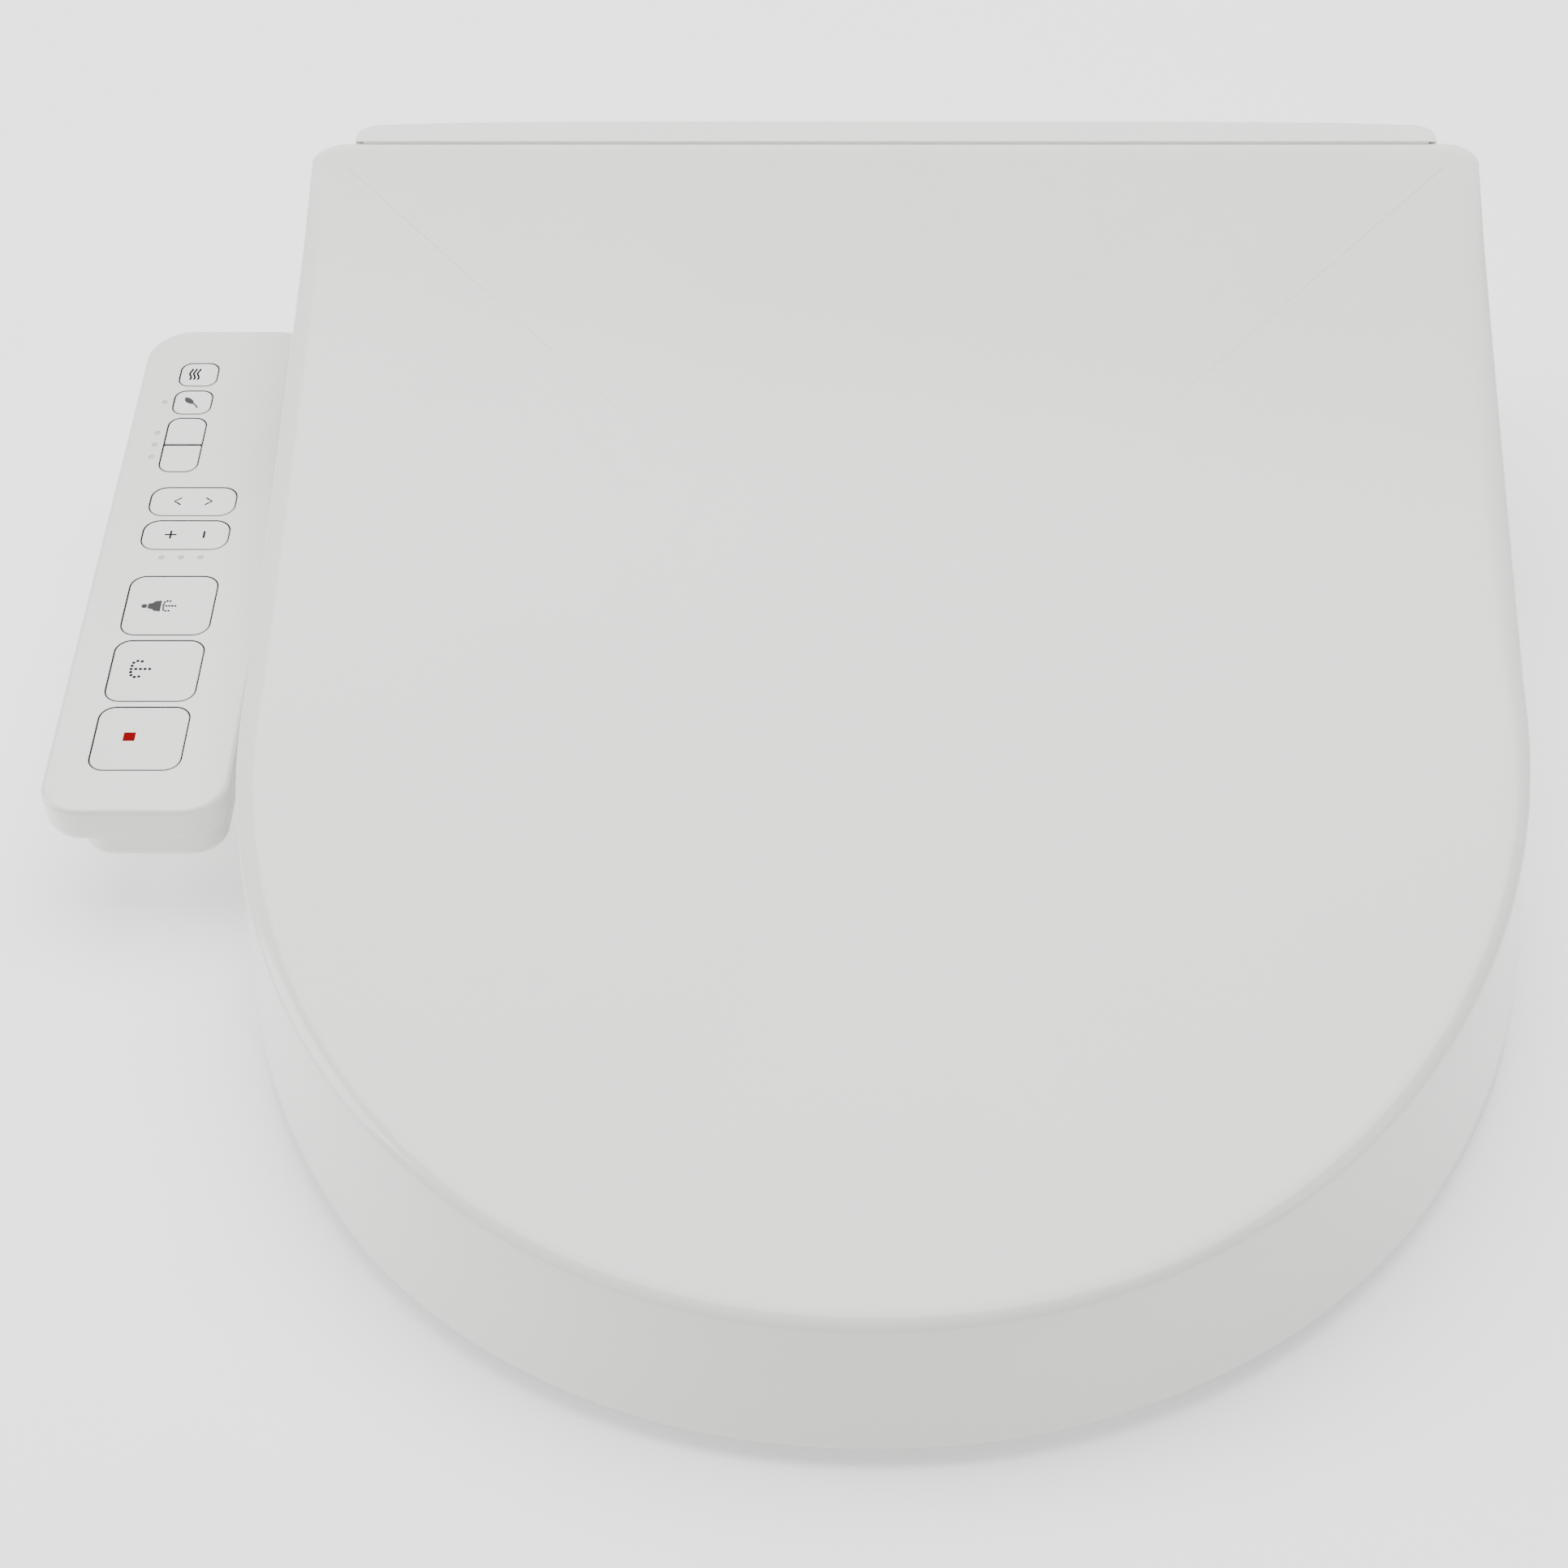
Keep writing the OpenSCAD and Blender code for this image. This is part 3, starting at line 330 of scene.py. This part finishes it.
def carved(part, cutters):
    """The part with every cutter taken away, as a finished mesh."""
    base, *cuts = [linked("cutter", mesh_of("cutter", *p, 1e-7)) for p in (part, *cutters)]
    for c in cuts:
        m = base.modifiers.new("cut", "BOOLEAN")
        m.operation = "DIFFERENCE"
        m.solver = "EXACT"
        m.object = c
    bpy.context.view_layer.update()
    me = bpy.data.meshes.new_from_object(base.evaluated_get(bpy.context.evaluated_depsgraph_get()))
    for o in [base, *cuts]:
        bpy.data.objects.remove(o)
    return me


def weighted(ob):
    """The piece with normals that follow its large faces, so flat faces look flat beside rounded edges."""
    ob.modifiers.new("normals", "WEIGHTED_NORMAL").keep_sharp = True
    return ob


# ------------------------------------------------------------ lid

AXIS_Y, AXIS_Z = 18.0, 104.0         # the hinge axis
ROLL = 21.0                          # radius of the rear edge, which turns about the axis
RISE = math.tan(math.radians(8))     # slope of the top
LID_FRONT, LID_FRONT_Z = 468.0, 49.0  # reach of the skirt in front, height of the top there
LID_HALF, LID_REAR_HALF = 200.0, 208.0
LID_CORNER = 12                      # radius of the rear corners
LID_HEIGHT = 118                     # height over which the walls lean in
LEAN_FRONT, LEAN_SIDE, LEAN_REAR = 19.67, 4, 1
NOSE_Y = -228                        # the straight sides end here and the rounded front begins
NOSE_POWER = 2 / 2.1                 # the front is a little squarer than an ellipse
LID_WALL = 3.0
SKIRT = 7.0                          # lower edge in front and at the sides
HOOD_Y, HOOD_Z = -101, 75            # where the skirt steps up beside the housing, and its height there
EAR_Y, EAR_Z = 10, 100               # where it steps up again round the hinge, and its height there
BOSSES = ((-70, -428), (70, -428), (-143, -300), (143, -300))


def lid_top(y):
    """Height of the sloping top."""
    return LID_FRONT_Z + RISE * (y + LID_FRONT)


def step_up(y, z, foot, head, rise_y, top, parts):
    """The skirt's lower edge where it steps up: a rounded foot at y, z, then a rounded head up to top."""
    turns = [math.radians(90 * k / parts) for k in range(parts + 1)]
    out = [("s", y + foot * math.sin(a), z + foot * (1 - math.cos(a))) for a in turns[1:]]
    out += [("s", rise_y + head - head * math.cos(a), top - head + head * math.sin(a)) for a in turns]
    return out


def lid_columns():
    """The columns of the lid's wall: kind, place on the outline, side, and height of the lower edge.

    Kind o is on the rounded front, by its angle; s on a straight side, by its y; c on a rear corner, by its
    angle; and r along the rear, from -1 to 1.
    """
    cols = []
    fronts, rears = 120, 40
    hood_rise, ear_rise = -94.6, 15
    hood_end = hood_rise + 8
    side = [("s", NOSE_Y + (HOOD_Y - NOSE_Y) * k / 12, SKIRT) for k in range(1, 13)]
    side += step_up(HOOD_Y, SKIRT, 6, 8, hood_rise, HOOD_Z, 6)
    side += [("s", hood_end + (EAR_Y - hood_end) * k / 9, HOOD_Z) for k in range(1, 10)]
    side += step_up(EAR_Y, HOOD_Z, 4.5, 4, ear_rise, EAR_Z, 4)
    side += [("s", 21.5, EAR_Z), ("s", 23.4, EAR_Z)]
    corner = [("c", 90 * k / 8, EAR_Z) for k in range(9)]
    for k in range(fronts + 1):
        cols.append(("o", 180 * k / fronts, 1, SKIRT))
    for kind, v, z in side + corner:
        cols.append((kind, v, -1, z))
    for k in range(1, rears):
        cols.append(("r", -1 + 2 * k / rears, 1, EAR_Z))
    for kind, v, z in reversed(side + corner):
        cols.append((kind, v, 1, z))
    return cols


def lid_point(col, z, inset):
    """Where a column's wall is at height z, set in from the outer face."""
    kind, v, side, _ = col
    t = (z - SKIRT) / LID_HEIGHT
    half = LID_HALF - LEAN_SIDE * t - inset
    front = LID_FRONT - LEAN_FRONT * t - inset
    half_rear = LID_REAR_HALF - LEAN_REAR * t - inset
    r = max(LID_CORNER - inset, 2)
    rear = AXIS_Y + math.sqrt(max(ROLL ** 2 - max(z - AXIS_Z, 0) ** 2, 1.0)) - inset
    if kind == "o":
        c, s = math.cos(math.radians(v)), math.sin(math.radians(v))
        return (half * math.copysign(abs(c) ** NOSE_POWER, c),
                NOSE_Y - (front + NOSE_Y) * abs(s) ** NOSE_POWER)
    if kind == "s":
        y = min(v, rear - r)
        straight_end = 25.2
        k = (y - NOSE_Y) / (straight_end - NOSE_Y)
        return (side * (half + (half_rear - half) * k), y)
    if kind == "c":
        a = math.radians(v)
        return (side * (half_rear - r + r * math.cos(a)), rear - r + r * math.sin(a))
    return (v * (half_rear - r), rear)


def settle(col, drop, inset):
    """Where a column's wall is when it lies a given drop below the lid's sloping top."""
    z = 60.0
    for _ in range(40):
        x, y = lid_point(col, z, inset)
        z = 0.5 * z + 0.5 * (lid_top(y) - drop)
    return x, y, z


def edge(col):
    """The top's soft edge at a column: how far in it reaches, and how far down."""
    kind, v = col[:2]
    front, side, rear = (5.5, 3.4), (9.0, 3.2), (12.0, 0.7)
    if kind == "o":
        k = min(1.0, abs(v - 90) / 90) ** 3
        return tuple(a + (b - a) * k for a, b in zip(front, side))
    if kind == "s":
        k = min(1.0, max(0.0, (v + 20) / 40))
        return tuple(a + (b - a) * k * k * (3 - 2 * k) for a, b in zip(side, rear))
    return rear


def lid_skin(cols, inset, drop, levels=7, arcs=14):
    """Rings from just above the lower edge, up the wall, over the soft edge, to the top's rim."""
    rings = []
    shoulders = [settle(c, drop + edge(c)[1], inset) for c in cols]
    for k in range(levels):
        t = k / levels
        ring = []
        for c, s in zip(cols, shoulders):
            z0 = c[3] + 1.0
            z = z0 + (s[2] - z0) * t
            x, y = lid_point(c, z, inset)
            ring.append((x, y, z))
        rings.append(ring)
    for k in range(arcs + 1):
        a = math.pi / 2 * k / arcs
        rings.append([settle(c, drop + edge(c)[1] * (1 - math.sin(a)), inset + edge(c)[0] * (1 - math.cos(a)))
                      for c in cols])
    return rings


def lid_middle(ring, drop):
    """The broad top as rings that close on its middle, and the middle."""
    cx, cy = 0.0, -215.0
    out = []
    for s in (0.985, 0.96, 0.92, 0.86, 0.78, 0.68, 0.56, 0.44, 0.32, 0.2, 0.1):
        out.append([(cx + (x - cx) * s, cy + (y - cy) * s,
                     lid_top(cy + (y - cy) * s) - drop) for x, y, z in ring])
    return out, (cx, cy, lid_top(cy) - drop)


def knuckle(side):
    """A hinge knuckle: round below the axis, square above it where it runs into the lid's top."""
    x0, x1 = (151, 171) if side > 0 else (-171, -151)
    radius, top = 9.3, AXIS_Z + 10.4
    section = []
    for k in range(25):
        a = math.radians(180 + 180 * k / 24)
        section.append((AXIS_Y + radius * math.cos(a), AXIS_Z + radius * math.sin(a)))
    section += [(AXIS_Y + radius, top), (AXIS_Y - radius, top)]
    rings = []
    for x, k in ((x0, 0.93), (x0 + 0.25, 0.975), (x0 + 0.8, 1),
                 (x1 - 0.8, 1), (x1 - 0.25, 0.975), (x1, 0.93)):
        rings.append([(x, AXIS_Y + (y - AXIS_Y) * k, AXIS_Z + (z - AXIS_Z) * (k if z < AXIS_Z else 1))
                      for y, z in section])
    return loft(rings, (x0, AXIS_Y, AXIS_Z), (x1, AXIS_Y, AXIS_Z))


def make_lid():
    """The hollow lid, its hinge knuckles and the bosses that hold its rubber buffers."""
    white = MATS["shell_white"]
    cols = lid_columns()
    outer = lid_skin(cols, 0, 0)
    top, middle = lid_middle(outer[-1], 0)
    inner = lid_skin(cols, LID_WALL, LID_WALL)
    under, under_mid = lid_middle(inner[-1], LID_WALL)
    lip = []
    for inset, lift in ((2.7, 0.3), (2, 0), (1, 0), (0.3, 0.3)):
        lip.append([(*lid_point(c, c[3] + lift, inset), c[3] + lift) for c in cols])
    rings = list(reversed(under)) + list(reversed(inner)) + lip + outer + top
    shell = loft(rings, under_mid, middle)
    build("lid_cover", *shell, white, "lid", "shell_white", ("lid_shell",), 50)
    for name, side in (("lid_knuckle_left", -1), ("lid_knuckle_right", 1)):
        build(name, *knuckle(side), white, "lid", "shell_white")
    for i, (bx, by) in enumerate(BOSSES):
        z = lid_top(by) - LID_WALL
        build(f"lid_boss_{i}", *post((bx, by), 7, z - 5.4, z + 0.6, 0.6), white, "lid", "shell_white")


def make_groove_lip():
    """A soft lip on the housing that closes the groove behind the lid's roll."""
    half = 190.0
    section = []
    for radius, start, sweep in ((ROLL + 0.12, 14, 31.5), (ROLL + 0.85, 45.5, -31.5)):
        for k in range(13):
            a = math.radians(start + sweep * k / 12)
            section.append((AXIS_Y + radius * math.cos(a), AXIS_Z + radius * math.sin(a)))
    rings = [[(x, y, z) for y, z in section] for x in (-half, -half / 2, 0, half / 2, half)]
    lip = loft(rings, (-half, *section[6]), (half, *section[6]))
    build("groove_lip", *lip, MATS["shell_white"], "housing", "shell_white", (), 30)


make_lid()
make_groove_lip()


# ------------------------------------------------------------ side panel

PANEL_OUT, PANEL_IN = 265.0, 206.0   # its two sides, at -x
PANEL_FRONT, PANEL_Z = 248.0, 46.0   # its low end, at -y, and the face's height there
PANEL_LEN = 239.5
TILT = math.radians(5.3)
KEY_X, KEY_WIDE, KEY_NARROW = -251.4, 28.7, 12.8
KEYS = {                             # low end, width, length, corner radii; all start at KEY_X
    "stop_key": (18.5, KEY_WIDE, 28, (5,) * 4),
    "wash_key": (49.5, KEY_WIDE, 28, (5,) * 4),
    "bidet_key": (80.5, KEY_WIDE, 28, (5,) * 4),
    "strength_rocker": (122.2, KEY_WIDE, 14.1, (5,) * 4),
    "position_rocker": (139.2, KEY_WIDE, 14.1, (5,) * 4),
    "seat_key": (161.9, KEY_NARROW, 13.7, (4, 4, 0.6, 0.6)),
    "water_key": (176.3, KEY_NARROW, 13.7, (0.6, 0.6, 4, 4)),
    "eco_key": (192.6, KEY_NARROW, 12.2, (3.6,) * 4),
    "massage_key": (207.8, KEY_NARROW, 12.2, (3.6,) * 4),
}
PAIR_LENGTH = 13.7 + 14.4            # the seat and water keys share one opening
GAP = 0.46                           # between a key and the panel
LED_X, LED_TOP = -254.8, 198.9       # the column of lenses, and its last one, beside the eco key
REAR_BOW, BOW_START = 1.6, 222       # the rear edge is bowed by this much, from this far up the face
KEY_TOP = 0.235                      # how far prints stand out of the panel's face
PRINT = 0.12                         # thickness of a print


def on_panel(x, v, w):
    """From the panel's face (x, up the slope, out of the face) to the frame."""
    return (x, -PANEL_FRONT + v * math.cos(TILT) - w * math.sin(TILT),
            PANEL_Z + v * math.sin(TILT) + w * math.cos(TILT))


def bowed(x, v, w):
    """The same, with the rear edge bowed."""
    u = (x + (PANEL_OUT + PANEL_IN) / 2) / ((PANEL_OUT - PANEL_IN) / 2)
    k = max(0.0, (v - BOW_START) / (PANEL_LEN - BOW_START))
    return on_panel(x, v - REAR_BOW * u * u * k, w)


def openings():
    """The panel's openings: name, low end, width, length and corner radii."""
    for name, (v, w, h, r) in KEYS.items():
        if name == "seat_key":
            yield name, v, w, PAIR_LENGTH, (4,) * 4
        elif name != "water_key":
            yield name, v, w, h, r


def make_panel():
    """The face with its openings, the lenses, the underside with its inset lower tier, and the arm."""
    white = MATS["shell_white"]
    face = slab(-PANEL_OUT, 0, -PANEL_IN, PANEL_LEN, -11, 0, (13, 14, 13, 15), top=1.7, low=0.8,
                steps=16, round_steps=6)
    cuts = [slab(KEY_X - GAP, v - GAP, KEY_X + w + GAP, v + h + GAP, -6.5, 3, [q + GAP for q in r],
                 0.01, 0.01, steps=7, round_steps=1) for name, v, w, h, r in openings()]
    leds = [(-243.4 + 6.5 * i, 118.1) for i in range(3)] + [(LED_X, 169.7 + 6.3 * i) for i in range(3)]
    leds.append((LED_X, LED_TOP))
    cuts += [post(p, 1.02, -5.5, 2, 0.01, 20) for p in leds]
    me = carved(move(face, bowed), [move(c, on_panel) for c in cuts])
    weighted(place("panel_face", me, white, "housing", ("panel_top",), 30))
    for i, p in enumerate(leds):
        lens = move(post(p, 0.97, -5, 0.05, 0.25, 24), on_panel)
        build(f"led_{i}", *lens, MATS["lens"], "housing", "lens", ("led_lenses",) if i == 0 else ())
    flange = slab(-PANEL_OUT + 1, 1, -PANEL_IN - 1, PANEL_LEN - 1, -13, -10.9, (12, 13, 12, 14), 0.3, 0.4,
                  steps=16)
    tray = slab(-PANEL_OUT + 10, 4, -PANEL_IN - 3, PANEL_LEN - 5, -25, -12.5, (11, 11, 10, 10), 0.3, 3.4,
                steps=16, round_steps=7)
    base = merge(move(flange, bowed), move(tray, bowed))
    weighted(build("panel_underside", *base, white, "housing", "shell_white", ("panel_base",), 30))
    arm = slab(-212, -50, -193, -16, 44, 54, (1,) * 4, 1.2, 1.2)
    weighted(build("panel_arm", *arm, white, "housing", "shell_white", (), 30))


def gap_shade_ring(v, w, h, r, clear):
    """A near-black ring in the gap round a key, just below the face, with clear left beside the key; it paints
    the shade in the gap.
    """
    low, high, outside = -1.6, -0.06, GAP - 0.02
    rings = []
    for grow, depth in ((clear, low), (clear, high), (outside, high), (outside, low)):
        corners = [q + grow for q in r]
        rings.append([(px, pv, depth) for px, pv in
                      round_rect(KEY_X - grow, v - grow, KEY_X + w + grow, v + h + grow, corners, 7)])
    return loft(rings + rings[:1])


def make_gap_shades():
    """A ring of painted gap shade for each opening, and a strip of it between the two keys that share an
    opening.
    """
    parts = {}
    for name, v, w, h, r in openings():
        # a near-black ring round each opening: painted shade in the key gap
        parts["seal_" + name] = gap_shade_ring(v, w, h, r, 0.15 if "rocker" in name else 0.03)
    v, w, h, r = KEYS["seat_key"]
    # a near-black strip between the seat and water keys: painted shade in the gap they share
    parts["seal_between"] = slab(KEY_X + 0.1, v + h + 0.04, KEY_X + w - 0.1, v + h + 0.66, -1.6, -0.06,
                                 (0.05,) * 4, 0.02, 0.02, steps=1, round_steps=1)
    for name, part in parts.items():
        build(name, *move(part, on_panel), GAP_SHADE, "housing", "rubber", (), 30)


def make_keys():
    """Each key's crowned cap on its stem."""
    for name, (v, w, h, r) in KEYS.items():
        cap = slab(KEY_X, v, KEY_X + w, v + h, -3, 0.22, r, 0.45, 0.2, 0.12, steps=9)
        stem = post((KEY_X + w / 2, v + h / 2), 2.5, -5, -2.9, 0.3, 32)
        key = merge(move(cap, on_panel), move(stem, on_panel))
        weighted(build(name + "_cap", *key, MATS["key_white"], name + "_body", "key_white", (name,), 30))


def mark(name, key, parts, mat=INK):
    """A printed mark on a key: flat parts joined in one piece."""
    build(name, *move(merge(*parts), on_panel), mat, key + "_body", "key_white", (), 30)


def dot(x, v, r):
    """A round print."""
    return post((x, v), r, KEY_TOP - PRINT, KEY_TOP, 0.02, 16)


def stroke(points, width):
    """A ribbon of constant width along a path, with a little thickness."""
    left, right = [], []
    for i, (x, v) in enumerate(points):
        a, b = points[max(i - 1, 0)], points[min(i + 1, len(points) - 1)]
        d = math.hypot(b[0] - a[0], b[1] - a[1]) or 1
        nx, nv = -(b[1] - a[1]) / d * width / 2, (b[0] - a[0]) / d * width / 2
        left.append((x + nx, v + nv))
        right.append((x - nx, v - nv))
    loop = left + right[::-1]
    m = len(loop)
    tops = [(i, i + 1, m - 2 - i, m - 1 - i) for i in range(len(points) - 1)]
    return printed(loop, tops, [tuple(j + m for j in reversed(f)) for f in tops])


def outline(points):
    """A filled shape with a little thickness."""
    m = len(points)
    return printed(points, [tuple(range(m))], [tuple(range(2 * m - 1, m - 1, -1))])


def printed(loop, tops, bottoms):
    """A flat print from its outline and the faces that fill it, above and below."""
    m = len(loop)
    verts = [(x, v, KEY_TOP) for x, v in loop] + [(x, v, KEY_TOP - PRINT) for x, v in loop]
    return verts, tops + bottoms + [(i, (i + 1) % m, (i + 1) % m + m, i + m) for i in range(m)]


def arc_points(cx, cy, r, a0, a1, n):
    """Points along an arc, with its angles in degrees."""
    turns = [math.radians(a0 + (a1 - a0) * k / n) for k in range(n + 1)]
    return [(cx + r * math.cos(a), cy + r * math.sin(a)) for a in turns]


def fountain(x, v, reach, r=0.55):
    """A stem of dots that splits into two drooping sprays, seen from the side."""
    dots = [(x + reach * k / 4, v) for k in range(5)]
    for s in (-1, 1):
        spray = arc_points(x + reach * 0.34, reach * 0.3, reach * 0.33, 190, 60, 3)
        dots += [(px, v + s * pv) for px, pv in spray]
    return [dot(px, pv, r) for px, pv in dots]


def make_marks():
    """The keys' symbols and the rockers' middle ridges, placed from KEY_X and up the face."""
    x = KEY_X
    square = slab(x + 9.1, 31.15, x + 12.9, 35.0, 0.08, 0.25, (0.1,) * 4, 0.03, 0.02, steps=1, round_steps=2)
    mark("mark_stop", "stop_key", [square], RED)
    mark("mark_wash", "wash_key", fountain(x + 6.6, 64.1, 6.0))
    figure = outline([(x + 7.3, 95.1), (x + 7.3, 92.9), (x + 8.9, 92.4), (x + 9.4, 91.7), (x + 11.6, 91.3),
                      (x + 11.6, 96.7), (x + 9.4, 96.3), (x + 8.9, 95.6)])
    mark("mark_figure", "bidet_key", [dot(x + 6.1, 94, 1.0), figure], SOFT_INK)
    mark("mark_bidet", "bidet_key", fountain(x + 12.4, 94, 3.9, 0.42))
    line = 0.62
    mark("mark_plus", "strength_rocker", [stroke([(x + 7.4, 129.25), (x + 11.4, 129.25)], line),
                                          stroke([(x + 9.4, 127.25), (x + 9.4, 129)], line),
                                          stroke([(x + 9.4, 129.5), (x + 9.4, 131.25)], line)])
    mark("mark_minus", "strength_rocker", [stroke([(x + 20.6, 127.5), (x + 20.6, 131)], 0.7)])
    for name, tail, tip in (("mark_back", 10.4, 8.2), ("mark_forth", 18.6, 20.8)):
        arrow = stroke([(x + tail, 144.4), (x + tip, 146.2), (x + tail, 148)], line)
        mark(name, "position_rocker", [arrow])
    for name, v in (("strength_rocker", 129.25), ("position_rocker", 146.25)):
        # each ridge stands a little proud of the key, and its lighter colour is a painted highlight
        ridge = slab(x + 14.1, v - 4.6, x + 14.6, v + 4.6, 0.1, 0.30, (0.2,) * 4, 0.08, 0.02, steps=3,
                     round_steps=2)
        mark("ridge_" + name, name, [ridge], RIDGE_HIGHLIGHT)
    waves = []
    for k in range(3):
        middle = x + 3.5 + 1.35 * k
        waves.append(stroke([(middle + 0.35 * math.sin(2 * math.pi * j / 12), 210.9 + 6.0 * j / 16)
                             for j in range(17)], 0.68))
    mark("mark_massage", "massage_key", waves)
    leaf = outline([(x + 3.4, 201.1), (x + 3.5, 199.6), (x + 4.4, 198.3), (x + 5.9, 197.6), (x + 7.0, 197.7),
                    (x + 6.6, 199.3), (x + 5.5, 200.6), (x + 4.4, 201.2)])
    stalk = stroke([(x + 6.8, 197.9), (x + 7.9, 196.6), (x + 8.4, 195.6)], 0.55)
    mark("mark_eco", "eco_key", [leaf, stalk], SOFT_INK)


make_panel()
make_keys()
make_gap_shades()
make_marks()


# ------------------------------------------------------------ seat ring and spring

def soft_rim(e):
    """Whether an edge is on the seat ring's outer or inner rim, away from its hinge slots and its bridge.

    Its limits are in metres, because the mesh comes from the frame.
    """
    rim_low, side_x, side_end = 0.016, 0.184, -0.24
    slots_y, bridge_x, bridge_y = -0.1, 0.066, -0.142
    if len(e.link_faces) != 2:
        return False
    a, b = (f.normal for f in e.link_faces)
    mid = (e.verts[0].co + e.verts[1].co) / 2
    if mid.z < rim_low:
        return False
    if abs(mid.x) > side_x and mid.y > side_end:
        return (abs(a.x) > 0.9) != (abs(b.x) > 0.9)
    if mid.y > slots_y or (abs(mid.x) < bridge_x and mid.y > bridge_y):
        return False
    top, wall = (a, b) if abs(a.z) > abs(b.z) else (b, a)
    return top.z > 0.9 and abs(wall.z) < 0.3


def make_seat():
    """The seat ring: the frame's shape with its rims rounded."""
    rim = 6.5
    bm = bmesh.new()
    bm.from_mesh(nodes["seat_top"].data)
    bmesh.ops.remove_doubles(bm, verts=bm.verts, dist=2e-6)
    bmesh.ops.dissolve_limit(bm, angle_limit=math.radians(0.5), verts=bm.verts, edges=bm.edges)
    bm.normal_update()
    bmesh.ops.bevel(bm, geom=[e for e in bm.edges if soft_rim(e)], offset=rim * MM, offset_type="OFFSET",
                    segments=6, profile=0.5, affect="EDGES", clamp_overlap=False)
    me = bpy.data.meshes.new("seat_ring")
    bm.to_mesh(me)
    bm.free()
    weighted(place("seat_ring", me, MATS["shell_white"], "seat", ("seat_top",), 32))


def make_spring():
    """The release button's leaf spring, kept in the frame's shape; the real spring flattens as the button is
    pressed.
    """
    me = nodes["release_spring"].data.copy()
    ob = place("leaf_spring", me, MATS["steel"], "housing", ("release_spring",), 30)
    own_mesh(ob)


make_seat()
make_spring()


# ------------------------------------------------------------ nodes kept from the frame

SLOT_OF = {s["node"]: s["material_slot"] for s in frame["record"]["subparts"]}
SOFTEN = {                           # width of the rounded edges in millimetres; 0.3 on every other node
    "upper_case": 0.5, "base_plate": 0.8, "mounting_bracket": 0.7, "water_tank": 1.2, "fan_housing": 0.9,
    "seat_bottom": 0.9, "housing_pads": 0.6, "seat_bumpers": 0.8, "lid_bumpers": 0.8,
}
for name, ob in nodes.items():
    if ob.hide_render:               # a piece above stands for it
        continue
    ob.data.materials.clear()
    ob.data.materials.append(MATS[SLOT_OF[name]])
    ob.data.polygons.foreach_set("use_smooth", [True] * len(ob.data.polygons))
    weld = ob.modifiers.new("weld", "WELD")
    weld.merge_threshold = 2e-6
    flat = ob.modifiers.new("flat", "DECIMATE")
    flat.decimate_type = "DISSOLVE"
    flat.angle_limit = math.radians(0.5)
    bev = ob.modifiers.new("bevel", "BEVEL")
    bev.width = SOFTEN.get(name, 0.3) * MM
    bev.segments = 2
    bev.limit_method = "ANGLE"
    bev.angle_limit = math.radians(35)
    bev.miter_outer = "MITER_ARC"
    weighted(ob)


# ------------------------------------------------------------ floor, light, camera

def floor():
    """A plain pale floor just under the part, which glows a little, as a lit studio floor does."""
    me = bpy.data.meshes.new("floor")
    s = 30.0
    me.from_pydata([(-s, -s, 0), (s, -s, 0), (s, s, 0), (-s, s, 0)], [], [(0, 1, 2, 3)])
    ob = linked("floor", me)
    ob.location.z = -0.0006
    mat = plastic("floor", (0.93, 0.93, 0.93), 0.7, cloud=0.004, wave=0.00001)
    shader = mat.node_tree.nodes["Principled BSDF"]
    shader.inputs["Emission Color"].default_value = (1, 1, 1, 1)
    shader.inputs["Emission Strength"].default_value = 0.55
    me.materials.append(mat)


def softbox(name, place_at, target, size, power):
    """A rectangular light of the given size and power in watts, turned towards its target."""
    data = bpy.data.lights.new(name, "AREA")
    data.shape = "RECTANGLE"
    data.size, data.size_y = size
    data.energy = power
    ob = linked(name, data)
    ob.location = place_at
    ob.rotation_euler = (Vector(target) - Vector(place_at)).to_track_quat("-Z", "Y").to_euler()


floor()
softbox("top_light", (0.1, 0.3, 2.4), (0, -0.2, 0), (3.0, 2.6), 118)
softbox("left_light", (-2.4, -0.1, 1.1), (0, -0.2, 0.05), (1.2, 2.0), 50)
softbox("right_light", (2.2, -0.9, 1.2), (0, -0.2, 0.05), (1.0, 1.6), 9)
softbox("back_light", (0.2, 2.4, 1.5), (0, -0.1, 0.05), (3.0, 1.0), 22)

world = bpy.data.worlds.new("studio")
world.use_nodes = True
world.node_tree.nodes["Background"].inputs["Color"].default_value = (1, 1, 1, 1)
world.node_tree.nodes["Background"].inputs["Strength"].default_value = 0.42
bpy.context.scene.world = world

cam = bpy.data.cameras.new("camera")
cam.sensor_width = 36
cam.lens = 83.106
cam.shift_x = -0.11566
cam_ob = linked("camera", cam)
cam_ob.location = (0.024775, -1.100033, 0.780661)
cam_ob.rotation_euler = (math.radians(49.678), 0, 0)
bpy.context.scene.camera = cam_ob
